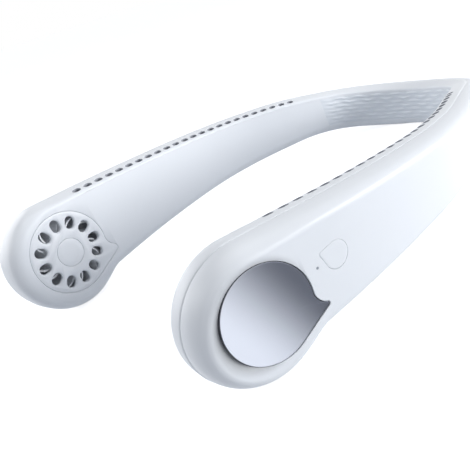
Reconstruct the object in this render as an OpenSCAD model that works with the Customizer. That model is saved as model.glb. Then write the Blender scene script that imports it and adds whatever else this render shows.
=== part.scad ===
// Neck fan: a hollow horseshoe band with a round fan head at each front end.
// Air enters through the grille on the inner side of each head, is driven by a radial
// impeller and leaves through a row of outlets along the inner top edge of each arm.
// The right arm lies on +X, the nape of the band is at the back, on +Y.
// Along the band, s is the length from the head centre back to the nape, z is the height
// and n is the distance outwards from the middle of the band's thickness.

/* [Plan of the band] */
// Length of the band's middle line from a head centre back to the nape
band_len = 284; // [278:1:290]
// Inward turn of each head, degrees
toe_in = 9; // [7:0.5:11]
// Turn of the band a third of the way back, degrees from straight across
third_turn = 89; // [88:0.5:93]
// Turn of the band a little past half way
half_turn = 107.5; // [104:0.5:110]
// Turn of the band where the nape bend begins
nape_turn = 112.5; // [110:0.5:115]

/* [Section of the band] */
// Thickness of the band from inner face to outer face
band_t = 19.2; // [17.6:0.1:20]
// Wall of the casings
wall = 1.6; // [1.4:0.1:1.8]
// Rounding of the inner edges
edge_r = 5; // [4:0.5:5.5]
// Width of the outlet slope along the inner top edge
slope_w = 7.2; // [6.8:0.1:7.6]
// Fall of the outlet slope over its width
slope_drop = 1.8; // [1.5:0.1:2.1]
// Distance of the casing joint outwards from the middle of the band
part_n = 0; // [-1:0.1:0.6]
// Width of the rounded shoulder round the outer face
shoulder_w = 6; // [5.4:0.1:6.4]

/* [Side outline] */
// Radius of the round head
head_r = 27.5; // [27:0.1:29]
// Height of the top edge where it starts to fall towards the nape
shoulder_h = 43.2; // [42:0.5:47]
// Share of the band's length at which the top edge starts to fall
shoulder_share = 0.58; // [0.54:0.01:0.62]
// Height of the band at the nape
nape_h = 28; // [26:0.2:30]
// Height of the lower edge over the table, carried on to the head centre
root_h = 5.6; // [5:0.1:7]
// Highest point of the lower edge over the table
arch_h = 11.8; // [11:0.2:15]
// Share of the band's length at which the lower edge is highest
arch_share = 0.65; // [0.62:0.01:0.7]
// Reach of the soft corner where the head meets the lower edge
notch_blend = 5.4; // [4:0.1:5.5]
// Length of the flat resting edge on each side of the nape
nape_rest = 12; // [8:1:16]

/* [Outlets] */
// Outlets in each arm
outlet_count = 24; // [20:1:25]
// Spacing of the outlets
outlet_pitch = 7; // [6.6:0.1:7.2]
// Distance from the head centre to the first outlet
outlet_start = 21.6; // [20:0.2:24]
// Length of one outlet
outlet_len = 4.6; // [4:0.1:5]
// Width of one outlet
outlet_w = 3.3; // [2.8:0.1:3.4]
// Distance from the inner face to the middle of the outlets
outlet_in = 3.1; // [3:0.1:3.4]
// Where the outlet strip starts at the top
strip_start = 13; // [11:0.5:14]
// Length over which the strip's end runs down to the inner face
strip_run = 6.5; // [5:0.5:7]

/* [Neck pad] */
// Length of half of the pad, from the nape to its end
pad_reach = 78; // [75:1:81]
// Lean of the pad's end, from middle to edge
pad_slant = 0.3; // [0:0.1:1.2]
// Thickness of the pad
pad_t = 2.2; // [2:0.1:2.6]
// Height of the waves
wave_h = 0.6; // [0.3:0.05:0.8]
// Waves along half of the pad
wave_count = 5; // [4:1:7]
// Rows of waves across the pad
wave_rows = 7; // [5:1:8]

/* [Head covers] */
// Distance of the fan's axis behind the centre of the round head
fan_back = 0.8; // [0:0.1:1.2]
// Height of the fan's axis over the centre of the round head
fan_rise = 1.2; // [0.6:0.1:1.4]
// Radius of the metal disc
disc_r = 18.7; // [17.5:0.1:19]
// Distance from the disc centre to its drop tip
disc_tip = 27; // [25:0.5:28]
// Direction of the drop tip, degrees below the arm
tip_angle = 27; // [20:1:32]
// Thickness of the metal disc
disc_t = 1.2; // [1:0.1:1.4]
// Depth of the disc below the ridge round it
disc_sink = 0.9; // [0.6:0.1:1.1]
// Radius of the intake grille
grille_r = 20.4; // [20:0.1:21]
// Distance from the grille centre to its drop tip
grille_tip = 27; // [26:0.5:28]
// Thickness of the grille
grille_t = 1.4; // [1.2:0.1:1.5]
// Intake holes in the grille
intake_count = 12; // [8:1:14]
// Radius of the ring of intake holes
intake_ring_r = 14.8; // [14.4:0.1:15]
// Length of one intake hole, along the radius
intake_len = 6.2; // [5:0.1:6.4]
// Width of one intake hole
intake_w = 4.6; // [3.6:0.1:5]
// Radius of the hub cap
hub_cap_r = 7; // [6:0.1:7.5]

/* [Button and light] */
// Distance from the head centre to the button centre
button_s = 33.4; // [33:0.2:36]
// Height of the button centre
button_z = 32.8; // [31:0.2:34]
// Radius of the button
button_r = 5.4; // [5:0.1:5.6]
// Distance from the button centre to its drop tip
button_tip = 8.1; // [7.6:0.1:8.4]
// Direction of the button's tip, degrees
button_angle = 149; // [140:1:160]
// Travel of the button
button_travel = 0.5; // [0.4:0.1:0.6]
// Distance from the head centre to the indicator light
light_s = 23.8; // [23.4:0.1:24.2]
// Height of the indicator light
light_z = 32.8; // [32:0.2:33.6]
// Radius of the indicator light
light_r = 0.5; // [0.4:0.1:0.7]

/* [Motor and impeller] */
// Radius of the motor shaft
shaft_r = 1; // [0.8:0.1:1.2]
// Running clearance of the shaft in its bearings, on the radius
shaft_play = 0.03; // [0.02:0.01:0.08]
// Outer radius of a bearing
bearing_r = 2.6; // [2.4:0.1:2.8]
// Width of a bearing
bearing_w = 2; // [1.8:0.1:2.2]
// Outer radius of the bearing tube
tube_r = 3.4; // [3.2:0.1:3.6]
// Outer radius of the stator
stator_r = 8; // [7.6:0.1:8.2]
// Height of the stator's iron
stator_h = 3.2; // [2.8:0.1:3.4]
// Poles of the stator
pole_count = 9; // [6:3:12]
// Thickness of the ring magnet
magnet_t = 1.2; // [1:0.1:1.3]
// Gap between stator and magnet
air_gap = 0.4; // [0.3:0.05:0.5]
// Wall of the rotor can
can_t = 0.7; // [0.6:0.1:0.8]
// Wall of the impeller hub
hub_t = 1.1; // [0.9:0.1:1.3]
// Outer radius of the impeller
impeller_r = 20; // [19:0.1:20.4]
// Blades of the impeller
blade_count = 17; // [11:2:21]
// Thickness of a blade
blade_t = 0.8; // [0.6:0.1:1]
// Lean of the blades over their length, degrees
blade_sweep = 26; // [16:2:32]
// Radius of the motor base
base_r = 13; // [12:0.5:13.5]
// Thickness of the motor base
base_t = 1.3; // [1.2:0.1:1.4]
// Screws in the motor base
motor_screw_count = 3; // [3:1:4]
// Radius of the motor screw circle
motor_screw_ring_r = 10.8; // [10.6:0.1:11]

/* [Battery and boards] */
// Length of a battery cell
cell_len = 30; // [26:1:31]
// Height of a battery cell
cell_h = 16; // [14.5:0.5:16.5]
// Thickness of a battery cell
cell_t = 9; // [7:0.5:10]
// Spacing of the cells along the band
cell_pitch = 44; // [43:1:46]
// Thickness of a circuit board
board_t = 1; // [0.8:0.1:1.2]
// Length of the main board
main_board_len = 17; // [15:0.5:18]
// Height of the main board
main_board_h = 15; // [13:0.5:16]
// Width of the charging socket
socket_w = 8.9; // [8.9:0.1:9.1]
// Thickness of the charging socket
socket_t = 3.2; // [3.2:0.1:3.4]
// Depth of the charging socket
socket_depth = 7; // [6.5:0.1:7.5]
// Depth of the button board under the casing's wall
board_depth = 4.4; // [4.2:0.1:4.8]
// Length of the button board behind the button
board_tail = 3; // [2.8:0.1:4]
// Height of the button board
button_board_h = 13; // [12:0.5:14]
// Radius of a lead
lead_r = 0.6; // [0.5:0.05:0.6]

/* [Screws] */
// Radius of a screw's thread
screw_r = 0.9; // [0.8:0.05:1]
// Radius of a screw's head
screw_head_r = 1.7; // [1.6:0.05:1.9]
// Height of a screw's head
screw_head_h = 0.9; // [0.8:0.05:1]
// Length of a casing screw
case_screw_len = 9; // [8:0.5:10]
// Radius of a screw post
post_r = 2.6; // [2.4:0.1:2.8]

/* [Hidden] */
$fn = 48;
// Gap between parts that lie in each other
fit_gap = 0.15;
// Gap between parts that only face each other
clear_gap = 0.3;
// Overrun of every cut
over = 1;
// Half of the band's thickness
half_t = band_t / 2;
// Rise of the outer face over the casing joint
shoulder_rise = half_t - part_n;
// Inset of the casing joint from the side outline
part_inset = 0.3;

// Stations: angles round the front of the head, then lengths along the band
front_steps = 9;
head_steps = 3;
run_steps = 2;
notch_steps = 3;
arm_steps = 19;
pad_steps = 11;
// Points on each half circle of a swept lead
lead_sides = 6;
// Length of the ramp at the pad's end
pad_ramp = 0.5;
// Length along the band at which the pad ends
pad_start = band_len - pad_reach;
// Reach over which the leaning stations come upright again
slant_reach = 34;

// Turn of the band at shares of its length; between them it bends evenly
head_straight = 2 * head_r;
turn_shares = [0.11, 0.35, 0.55, 0.75];
heading_table = [
    [-head_straight, 90 - toe_in],
    [turn_shares[0] * band_len, 90 - toe_in],
    [turn_shares[1] * band_len, third_turn],
    [turn_shares[2] * band_len, half_turn],
    [turn_shares[3] * band_len, nape_turn],
    [band_len, 180]];
plan_step = 1;
plan_count = ceil((band_len + head_straight) / plan_step);
function plan_s(i) = mix(-head_straight, band_len, i / plan_count);
plan_points = [
    for (i = 0, p = [0, 0]; i <= plan_count;
        h = heading_at(plan_s(i + 0.5)), p = p + (plan_s(1) - plan_s(0)) * [cos(h), sin(h)], i = i + 1) p];
nape_point = plan_points[plan_count];
x_table = [for (i = [0 : plan_count]) [plan_s(i), plan_points[i][0] - nape_point[0]]];
raw_y = [for (i = [0 : plan_count]) [plan_s(i), plan_points[i][1]]];
start_heading = 90 - toe_in;
nose_n = part_n + 0.35 * shoulder_rise;
nose_inset = 0.1 * shoulder_w;
front_y = lookup(0, raw_y) - (head_r - nose_inset) * sin(start_heading) - nose_n * cos(start_heading);
back_y = nape_point[1] + half_t;
y_table = [for (row = raw_y) [row[0], row[1] - mix(front_y, back_y, 0.5)]];

function mix(a, b, t) = a + (b - a) * t;
function hermite(t, a, ma, b, mb) =
    (2 * t * t * t - 3 * t * t + 1) * a + (t * t * t - 2 * t * t + t) * ma
    + (3 * t * t - 2 * t * t * t) * b + (t * t * t - t * t) * mb;
function soft_min(a, b, reach) = min(a, b) - pow(max(reach - abs(a - b), 0), 2) / (4 * reach);
function unit(v) = v / norm(v);

function heading_at(s) = lookup(s, heading_table);

// The point of the band at length s, height z and distance n outwards
function at(s, z, n) = let (h = heading_at(s))
    [lookup(s, x_table) + n * sin(h), lookup(s, y_table) - n * cos(h), z];

// Puts children drawn as x along the band, y up and z outwards at length s and height z
module on_band(s, z = 0) {
    translate([lookup(s, x_table), lookup(s, y_table), z])
    rotate([90, 0, heading_at(s)])
    children();
}
module on_head() {
    on_band(fan_back, head_r + fan_rise) children();
}
module left() {
    mirror([1, 0, 0]) children();
}

// Side outline
shoulder_s = shoulder_share * band_len;
arch_s = arch_share * band_len;
rest_s = band_len - nape_rest;
shoulder_rise_up = shoulder_h - head_r;
fall_angle = asin(head_r / norm([shoulder_s, shoulder_rise_up])) - atan2(shoulder_rise_up, shoulder_s);
fall = tan(fall_angle);
function head_rise(s) = sqrt(max(head_r * head_r - s * s, 0));
function top_edge(s) = s < head_r * sin(fall_angle) ? head_r + head_rise(s)
    : s < shoulder_s ? shoulder_h + fall * (shoulder_s - s)
    : hermite((s - shoulder_s) / (band_len - shoulder_s),
        shoulder_h, -fall * (band_len - shoulder_s), nape_h, 0);
function arm_low(s) = s < arch_s ? arch_h - (arch_h - root_h) * pow(1 - s / arch_s, 2)
    : s < rest_s ? hermite((s - arch_s) / (rest_s - arch_s), arch_h, 0, 0, 0) : 0;
function low_edge(s) = s <= 0 ? head_r - head_rise(s)
    : soft_min(s < head_r ? head_r - head_rise(s) : s, arm_low(s), notch_blend);
function mid_edge(s) = mix(low_edge(s), top_edge(s), 0.5);

// Stations from the front of the head back to the nape
arm_stops = concat(
    [for (i = [0 : head_steps - 1]) strip_start * i / head_steps],
    [for (i = [0 : run_steps - 1]) mix(strip_start, strip_start + strip_run, i / run_steps)],
    [for (i = [0 : notch_steps - 1]) mix(strip_start + strip_run, head_r, i / notch_steps)],
    [for (i = [0 : arm_steps]) mix(head_r, pad_start - pad_ramp, i / arm_steps)],
    [for (i = [0 : pad_steps]) mix(pad_start, band_len, i / pad_steps)]);
last_stop = front_steps + len(arm_stops) - 1;
function stop_s(k) = arm_stops[k - front_steps];
function lean(s) = pad_slant * max(0, 1 - abs(s - pad_start) / slant_reach);
function slope_normal(before, after, side) = unit([before[1] - after[1], after[0] - before[0]]) * side;
slope_step = 0.5;
function slope_reach(s) = s > band_len - slope_step || s < slope_step ? 0 : slope_step;
// Each row holds [s, z, normal s, normal z] of the side outline, inward normal
function edge_row(s, side) = let (d = slope_reach(s))
    side < 0
    ? concat(s, low_edge(s), d == 0 ? [0, 1]
        : slope_normal([s - d, low_edge(s - d)], [s + d, low_edge(s + d)], 1))
    : concat(s, top_edge(s), d == 0 ? [0, -1]
        : slope_normal([s - d, top_edge(s - d)], [s + d, top_edge(s + d)], -1));
function low_row(k) = k < front_steps
    ? let (a = 90 * k / front_steps)
        [-head_r * cos(a), head_r - head_r * sin(a), cos(a), sin(a)]
    : edge_row(stop_s(k) + lean(stop_s(k)), -1);
function top_row(k) = k < front_steps
    ? let (a = 90 * k / front_steps)
        [-head_r * cos(a), head_r + head_r * sin(a), cos(a), -sin(a)]
    : edge_row(stop_s(k) - lean(stop_s(k)), 1);
function mid_row(k) = k < front_steps
    ? [-head_r / 2 * cos(90 * k / front_steps), head_r]
    : [stop_s(k), mid_edge(stop_s(k))];

// Section paths: each point is [n, inset, and the shares of a wall's depth that move it]
low_path = [
    [part_n, part_inset, 0, 1],
    [part_n - 2 * part_inset, 0, 0, 1],
    [edge_r - half_t, 0, 0, 1],
    [edge_r * (1 - sin(30)) - half_t, edge_r * (1 - cos(30)), sin(30), cos(30)],
    [edge_r * (1 - sin(60)) - half_t, edge_r * (1 - cos(60)), sin(60), cos(60)],
    [-half_t, edge_r, 1, 0]];
slope_angle = atan(slope_drop / slope_w);
slope_round = wall + 1.5 * fit_gap;
slope_corner = slope_round * tan(45 - slope_angle / 2);
slope_end = slope_drop + slope_corner;
top_path = [
    [part_n, part_inset, 0, 1],
    [part_n - 2 * part_inset, 0, 0, 1],
    [slope_w - half_t, 0, sin(slope_angle / 2), cos(slope_angle / 2)],
    [slope_corner * cos(slope_angle) - half_t, slope_drop - slope_corner * sin(slope_angle),
        sin(slope_angle), cos(slope_angle)],
    [slope_corner * 0.27 - half_t, slope_drop + slope_corner * 0.2, 0.8, 0.6],
    [-half_t, slope_end, 1, 0.1]];
outer_path = [
    [part_n, part_inset, 0, 1],
    [nose_n, nose_inset, -0.3, 0.95],
    [part_n + 0.6 * shoulder_rise, 0.28 * shoulder_w, -0.5, 0.85],
    [part_n + 0.8 * shoulder_rise, 0.52 * shoulder_w, -0.7, 0.7],
    [part_n + 0.93 * shoulder_rise, 0.76 * shoulder_w, -0.87, 0.5],
    [half_t, shoulder_w, -1, 0.15]];
face_inset = slope_end + 1.6 * wall;
edge_spacing = 0.1 * wall;

// Lengths down the top path, and the point at a length, past its end along the inner face
function top_gap(i) = i < len(top_path) - 1
    ? norm([for (c = [0, 1]) top_path[i + 1][c] - top_path[i][c]])
    : 0;
top_lengths = [for (i = 0, d = 0; i < len(top_path); d = d + top_gap(i), i = i + 1) d];
slope_len = top_lengths[len(top_path) - 1];
function down_top(d) = d > slope_len
    ? [-half_t, slope_end + d - slope_len, 1, 0.1]
    : [for (c = [0 : 3]) lookup(d, [for (i = [0 : len(top_path) - 1]) [top_lengths[i], top_path[i][c]]])];
// Share of the strip's end that has run down at length s
first_share = 0.05;
function strip_share(s) = s < strip_start ? 0 : min(max((s - strip_start) / strip_run, first_share), 1);

function deepen(p, d) = [p[0] + p[2] * d, p[1] + p[3] * d];
function lift(row, p) = at(row[0] + row[2] * p[1], row[1] + row[3] * p[1], p[0]);
function pad_depth(s) = s < pad_start - pad_ramp / 2 ? 0 : pad_t;

// One row of casing points: section path, face edge, middle of the face
function inner_cols(k, side, d) =
    let (row = side < 0 ? low_row(k) : top_row(k),
         s = k < front_steps ? -1 : stop_s(k),
         cut = side < 0 ? 0 : strip_share(s),
         path = side < 0 || s < 0 ? low_path
            : [for (j = [0 : len(top_path) - 1])
                down_top(mix(top_lengths[j], slope_len + j * edge_spacing, cut))],
         face_n = pad_depth(s) - half_t)
    concat(
        [for (p = path) lift(row, deepen(p, d))],
        [lift(row, [face_n + d, face_inset])],
        [at(mid_row(k)[0], mid_row(k)[1], face_n + d)]);
function outer_cols(k, side, d) =
    let (row = side < 0 ? low_row(k) : top_row(k))
    concat(
        [for (p = outer_path) lift(row, deepen(p, d))],
        [at(mid_row(k)[0], mid_row(k)[1], half_t - d)]);

// A casing: rows run from the nape along the lower edge, round the head and back on top
module casing(outer) {
    k_end = last_stop;
    rows = 2 * k_end;
    function cols(i, d) = let (k = abs(i - k_end), side = i < k_end ? -1 : 1)
        outer ? outer_cols(k, side, d) : inner_cols(k, side, d);
    skin = [for (i = [0 : rows]) cols(i, 0)];
    lining = [for (i = [0 : rows]) cols(i, wall)];
    m = len(skin[0]);
    flip = outer ? 0 : 1;
    points = concat([for (r = skin) each r], [for (r = lining) each r]);
    // Rows past the head share their middle points with the rows on the lower edge
    function id(i, j, layer) = layer * (rows + 1) * m
        + (j == m - 1 && i > k_end ? (rows - i) * m + j : i * m + j);
    function quad(a, b, c, d, turn) = turn == 1 ? [[a, b, c], [a, c, d]] : [[c, b, a], [d, c, a]];
    faces = concat(
        [for (i = [0 : rows - 1]) for (j = [0 : m - 2])
            each quad(id(i, j, 0), id(i + 1, j, 0), id(i + 1, j + 1, 0), id(i, j + 1, 0), 1 - flip)],
        [for (i = [0 : rows - 1]) for (j = [0 : m - 2])
            each quad(id(i, j, 1), id(i + 1, j, 1), id(i + 1, j + 1, 1), id(i, j + 1, 1), flip)],
        [for (i = [0 : rows - 1])
            each quad(id(i, 0, 0), id(i + 1, 0, 0), id(i + 1, 0, 1), id(i, 0, 1), flip)],
        [for (j = [0 : m - 2])
            each quad(id(0, j, 0), id(0, j + 1, 0), id(0, j + 1, 1), id(0, j, 1), 1 - flip)],
        [for (j = [0 : m - 2])
            each quad(id(rows, j, 0), id(rows, j + 1, 0), id(rows, j + 1, 1), id(rows, j, 1), flip)]);
    polyhedron(points, faces);
}

// A closed section swept through rows of points, with flat ends
module sweep_rows(rows) {
    m = len(rows[0]);
    n = len(rows);
    faces = concat(
        [for (i = [0 : n - 2]) for (j = [0 : m - 1]) let (a = i * m + j, b = i * m + (j + 1) % m)
            each [[a, b, b + m], [a, b + m, a + m]]],
        [for (j = [1 : m - 2]) [0, j + 1, j]],
        [for (j = [1 : m - 2]) let (o = (n - 1) * m) [o, o + j, o + j + 1]]);
    polyhedron([for (r = rows) each r], faces);
}

// Drop outline: a circle with a tip, one side straight and one side hollow or straight
drop_step = 6;
function turn_points(c, r, from, to) = let (count = max(ceil(abs(to - from) / drop_step), 2))
    [for (i = [0 : count]) let (a = mix(from, to, i / count)) c + r * [cos(a), sin(a)]];
function drop_points(r, tip, angle, tip_r, hollow_r) =
    let (reach = tip - tip_r,
         tip_at = reach * [cos(angle), sin(angle)],
         lead = acos((r - tip_r) / reach),
         low_turn = angle - lead)
    hollow_r == 0
    ? concat(
        turn_points([0, 0], r, angle + lead, low_turn + 360),
        turn_points(tip_at, tip_r, low_turn, angle + lead))
    : let (a = r + hollow_r, b = tip_r + hollow_r,
         rise = acos((a * a + reach * reach - b * b) / (2 * a * reach)),
         hollow_at = a * [cos(angle + rise), sin(angle + rise)],
         to_hollow = hollow_at - tip_at,
         tip_turn = atan2(to_hollow[1], to_hollow[0]),
         back_turn = tip_turn < 180 ? tip_turn + 180 : tip_turn - 180)
        concat(turn_points([0, 0], r, angle + rise, low_turn + 360),
            turn_points(tip_at, tip_r, low_turn, tip_turn < low_turn ? tip_turn + 360 : tip_turn),
            turn_points(hollow_at, hollow_r, back_turn, angle + rise + 180));
tip_r = 0.9;
blunt_tip_r = 2;
hollow_r = 7;
module drop(r, tip, angle, end_r, hollow, grow) {
    polygon(drop_points(r + grow, tip + grow, angle, end_r + grow, hollow == 0 ? 0 : hollow - grow));
}
module disc_drop(grow = 0) {
    drop(disc_r, disc_tip, -tip_angle, tip_r, hollow_r, grow);
}
module grille_drop(grow = 0) {
    drop(grille_r, grille_tip, -tip_angle, blunt_tip_r, hollow_r, grow);
}
module button_drop(grow = 0) {
    drop(button_r, button_tip, button_angle, tip_r, 0, grow);
}
module slot(length, width, height) {
    run = length - width;
    for (side = [-1, 1]) translate([side * run / 2, 0, 0]) cylinder(r = width / 2, h = height);
    translate([-run / 2, -width / 2, 0]) cube([run, width, height]);
}

// Levels through the head, as distances n outwards
disc_top = half_t - disc_sink;
disc_low = disc_top - disc_t;
floor_low = disc_low - wall;
grille_low = grille_t - half_t;
ledge_top = grille_low + 0.7 * wall;
base_low = floor_low - base_t;
impeller_back = base_low - clear_gap;
back_plate_t = 0.9;
impeller_front = ledge_top + clear_gap;
can_r = stator_r + air_gap + magnet_t + can_t;
hub_r = can_r + hub_t;
can_back = impeller_back - back_plate_t;
can_front = impeller_front + hub_t;
stator_low = can_front + can_t + 1.6 * air_gap + magnet_t;
crater_w = 2.4;
crater_shift = 1.8;
crater_turn = 215;

// Posts that join the casings behind the neck pad
post_offsets = [cell_pitch / 2, cell_pitch * 1.5];
post_low = pad_t + wall - half_t;
module case_posts() {
    for (offset = post_offsets) let (s = band_len - offset)
        on_band(s, mid_edge(s)) translate([0, 0, post_low]) children();
}

// Posts that carry the button board and the main board
button_board_n = half_t - wall - board_depth;
board_post_r = 1.2;
board_inset = 1.8;
board_front = light_s - board_inset;
board_back = button_s + button_r + board_tail;
post_rise = button_board_h / 2 - board_inset;
module board_posts() {
    on_band(button_s, button_z) {
        translate([board_front + board_inset - button_s, -post_rise, 0]) children();
        translate([board_back - board_inset - button_s, post_rise, 0]) children();
    }
}

module outer_shell(with_button) {
    difference() {
        union() {
            casing(true);
            on_head() translate([0, 0, floor_low]) linear_extrude(half_t - wall / 2 - floor_low)
                disc_drop(wall);
            case_posts() cylinder(r = post_r, h = half_t - wall / 2 - post_low);
            if (with_button) board_posts() translate([0, 0, button_board_n + board_t])
                cylinder(r = board_post_r, h = half_t - wall / 2 - button_board_n - board_t);
        }
        on_head() translate([0, 0, disc_low]) linear_extrude(disc_t + disc_sink + over) disc_drop(fit_gap);
        on_head() rotate([0, 0, crater_turn]) translate([crater_shift, 0, disc_top])
            cylinder(r1 = disc_r - fit_gap, r2 = disc_r - fit_gap + crater_w * (1 + over / disc_sink),
                h = disc_sink + over);
        on_head() motor_screw_places() translate([0, 0, floor_low - over]) {
            cylinder(r = screw_r + fit_gap, h = wall + 2 * over);
            translate([0, 0, over + wall - screw_head_h])
                cylinder(r = screw_head_r + fit_gap, h = over + wall);
        }
        case_posts() translate([0, 0, -over]) cylinder(r = screw_r, h = case_screw_len - wall + 2 * over);
        if (with_button) {
            on_band(button_s, button_z) translate([0, 0, half_t - wall - over])
                linear_extrude(wall + 2 * over) button_drop(fit_gap);
            on_band(light_s, light_z) translate([0, 0, half_t - wall - over])
                cylinder(r = light_r, h = wall + 2 * over);
        }
    }
}

// Places of the charging socket and the main board, in front of the foremost screw post
socket_s = band_len - post_offsets[1] - post_r - 2 * clear_gap - main_board_len / 2;
socket_z = low_edge(socket_s) + wall / 4;
socket_n = part_n - wall / 2 - socket_t / 2;
board_n = socket_n - socket_t / 2 - board_t;
board_z = socket_z + 2 * wall;
module socket_place() {
    on_band(socket_s, socket_z) translate([0, 0, socket_n]) rotate([-90, 0, 0]) children();
}
module main_board_posts() {
    for (side = [-1, 1])
        let (s = socket_s + side * (main_board_len / 2 - board_inset),
             low = pad_depth(s) + wall / 2 - half_t)
            on_band(s, board_z + 0.6 * main_board_h) translate([0, 0, low])
                cylinder(r = board_post_r, h = board_n - low);
}

ledge_w = 2.6;
module inner_shell(with_socket) {
    difference() {
        union() {
            casing(false);
            on_head() translate([0, 0, wall / 2 - half_t])
                cylinder(r = grille_r + wall, h = ledge_top + half_t - wall / 2);
            if (with_socket) main_board_posts();
        }
        on_head() translate([0, 0, -half_t - over]) {
            linear_extrude(over + grille_t) grille_drop(fit_gap);
            cylinder(r = grille_r - ledge_w, h = over + ledge_top + half_t + over);
        }
        case_posts() translate([0, 0, -wall - over]) {
            cylinder(r = screw_r + fit_gap, h = wall + 2 * over);
            cylinder(r = screw_head_r + fit_gap, h = over + screw_head_h);
        }
        if (with_socket) socket_place() translate([0, 0, -2 * over])
            slot(socket_w + 2 * fit_gap, socket_t + 2 * fit_gap, socket_depth + 2 * over);
    }
}

// The strip's section at each row closes over the slope and the top edge
module outlet_strip() {
    start_k = front_steps + head_steps;
    rows = [for (k = [start_k : last_stop])
        let (row = top_row(k), cut = strip_share(stop_s(k)))
        concat(
            [for (j = [0 : len(top_path) - 1]) lift(row, down_top(cut * top_lengths[j]))],
            [for (j = [len(top_path) - 1 : -1 : 0])
                lift(row, deepen(down_top(cut * top_lengths[j]), wall))])];
    outlet_drop = slope_drop * (1 - outlet_in / slope_w);
    difference() {
        sweep_rows(rows);
        for (i = [0 : outlet_count - 1]) let (s = outlet_start + i * outlet_pitch)
            on_band(s, top_edge(s) - outlet_drop) translate([0, 0, outlet_in - half_t])
                rotate([-90 - slope_angle, 0, 0]) translate([0, 0, -2 * wall])
                    slot(outlet_len, outlet_w, 2 * wall + over);
    }
}

module head_disc() {
    on_head() translate([0, 0, disc_low]) linear_extrude(disc_t) disc_drop();
}

cap_t = 0.8;
module intake_grille() {
    on_head() translate([0, 0, -half_t]) difference() {
        linear_extrude(grille_t) grille_drop();
        for (i = [0 : intake_count - 1]) rotate([0, 0, i * 360 / intake_count])
            translate([intake_ring_r, 0, -over]) slot(intake_len, intake_w, grille_t + 2 * over);
        translate([0, 0, -over]) cylinder(r = hub_cap_r + fit_gap / 3, h = over + cap_t);
    }
}

module hub_cap() {
    on_head() translate([0, 0, -half_t]) cylinder(r = hub_cap_r, h = cap_t);
}

// The pad follows the recess of the inner casings from end to end round the nape
pad_lean_steps = 2 * wave_rows;
pad_side_steps = 4 * wave_count;
function wave_at(a, v) = let (row = v * wave_rows)
    wave_h * (0.5 + 0.5 * sin(360 * (row - floor(row)) - 90))
        * (0.65 + 0.35 * cos(360 * wave_count * a + 180 * floor(row)));
function pad_point(t, v, face) =
    let (side = t < 0 ? -1 : 1,
         reach = abs(t),
         s = mix(band_len, pad_start + clear_gap, reach),
         gap = face_inset + clear_gap,
         low_end = edge_row(s + lean(s), -1),
         high_end = edge_row(s - lean(s), 1),
         low = [low_end[0] + low_end[2] * gap, low_end[1] + low_end[3] * gap],
         high = [high_end[0] + high_end[2] * gap, high_end[1] + high_end[3] * gap],
         spot = mix(low, high, v),
         edge = min(1, 5 * min(v, 1 - v), 6 * (1 - reach)),
         n = face ? -half_t - wave_at(reach, v) * edge + (1 - edge) * wave_h : pad_t - half_t - fit_gap,
         p = at(min(spot[0], band_len), spot[1], n))
    [p[0] * side, p[1], p[2]];
module neck_pad() {
    nu = 2 * pad_side_steps;
    nv = pad_lean_steps;
    function ring(i) = let (t = i / pad_side_steps - 1)
        concat(
            [for (j = [0 : nv]) pad_point(t, j / nv, true)],
            [for (j = [nv : -1 : 0]) pad_point(t, j / nv, false)]);
    sweep_rows([for (i = [0 : nu]) ring(i)]);
}

// Motor and impeller, drawn about the head's axis
module motor_screw_places() {
    for (i = [0 : motor_screw_count - 1]) rotate([0, 0, 90 + i * 360 / motor_screw_count])
        translate([motor_screw_ring_r, 0, 0]) children();
}
tube_front = can_front + can_t + clear_gap;
module motor_base() {
    on_head() difference() {
        union() {
            translate([0, 0, base_low]) cylinder(r = base_r, h = base_t);
            translate([0, 0, tube_front]) cylinder(r = tube_r, h = base_low - tube_front + base_t / 2);
        }
        translate([0, 0, tube_front - over])
            cylinder(r = bearing_r, h = base_low + base_t - tube_front + 2 * over);
        motor_screw_places() translate([0, 0, base_low - over])
            cylinder(r = screw_r, h = base_t + 2 * over);
    }
}
module bearings() {
    for (low = [tube_front, base_low + base_t - bearing_w]) on_head() translate([0, 0, low]) difference() {
        cylinder(r = bearing_r, h = bearing_w);
        translate([0, 0, -over]) cylinder(r = shaft_r + shaft_play, h = bearing_w + 2 * over);
    }
}
shaft_back = base_low + base_t - clear_gap;
module motor_shaft() {
    on_head() translate([0, 0, can_front - hub_t / 2])
        cylinder(r = shaft_r, h = shaft_back - can_front + hub_t / 2);
}
module rotor_can() {
    on_head() difference() {
        translate([0, 0, can_front]) cylinder(r = can_r, h = can_back - can_front);
        translate([0, 0, can_front + can_t]) cylinder(r = can_r - can_t, h = can_back - can_front + over);
        translate([0, 0, can_front - over]) cylinder(r = shaft_r, h = can_t + 2 * over);
    }
}
magnet_low = can_front + can_t;
module magnet_ring() {
    on_head() translate([0, 0, magnet_low]) difference() {
        cylinder(r = can_r - can_t, h = can_back - magnet_low);
        translate([0, 0, -over])
            cylinder(r = can_r - can_t - magnet_t, h = can_back - magnet_low + 2 * over);
    }
}
yoke_t = 1.1;
pole_w = 1.5;
shoe_t = 0.9;
shoe_steps = 6;
shoe_turn = 260 / pole_count;
function shoe_arc(r) = [for (i = [0 : shoe_steps]) let (a = (i / shoe_steps - 1 / 2) * shoe_turn)
    r * [cos(a), sin(a)]];
module stator() {
    yoke_mid = tube_r + yoke_t / 2;
    outer_arc = shoe_arc(stator_r);
    inner_arc = shoe_arc(stator_r - shoe_t);
    on_head() translate([0, 0, stator_low]) linear_extrude(stator_h) difference() {
        union() {
            circle(r = tube_r + yoke_t);
            for (i = [0 : pole_count - 1]) rotate([0, 0, i * 360 / pole_count]) {
                translate([yoke_mid, -pole_w / 2]) square([stator_r - yoke_mid - shoe_t / 2, pole_w]);
                polygon(concat(outer_arc, [for (j = [shoe_steps : -1 : 0]) inner_arc[j]]));
            }
        }
        circle(r = tube_r);
    }
}
coil_t = 0.4;
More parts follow.
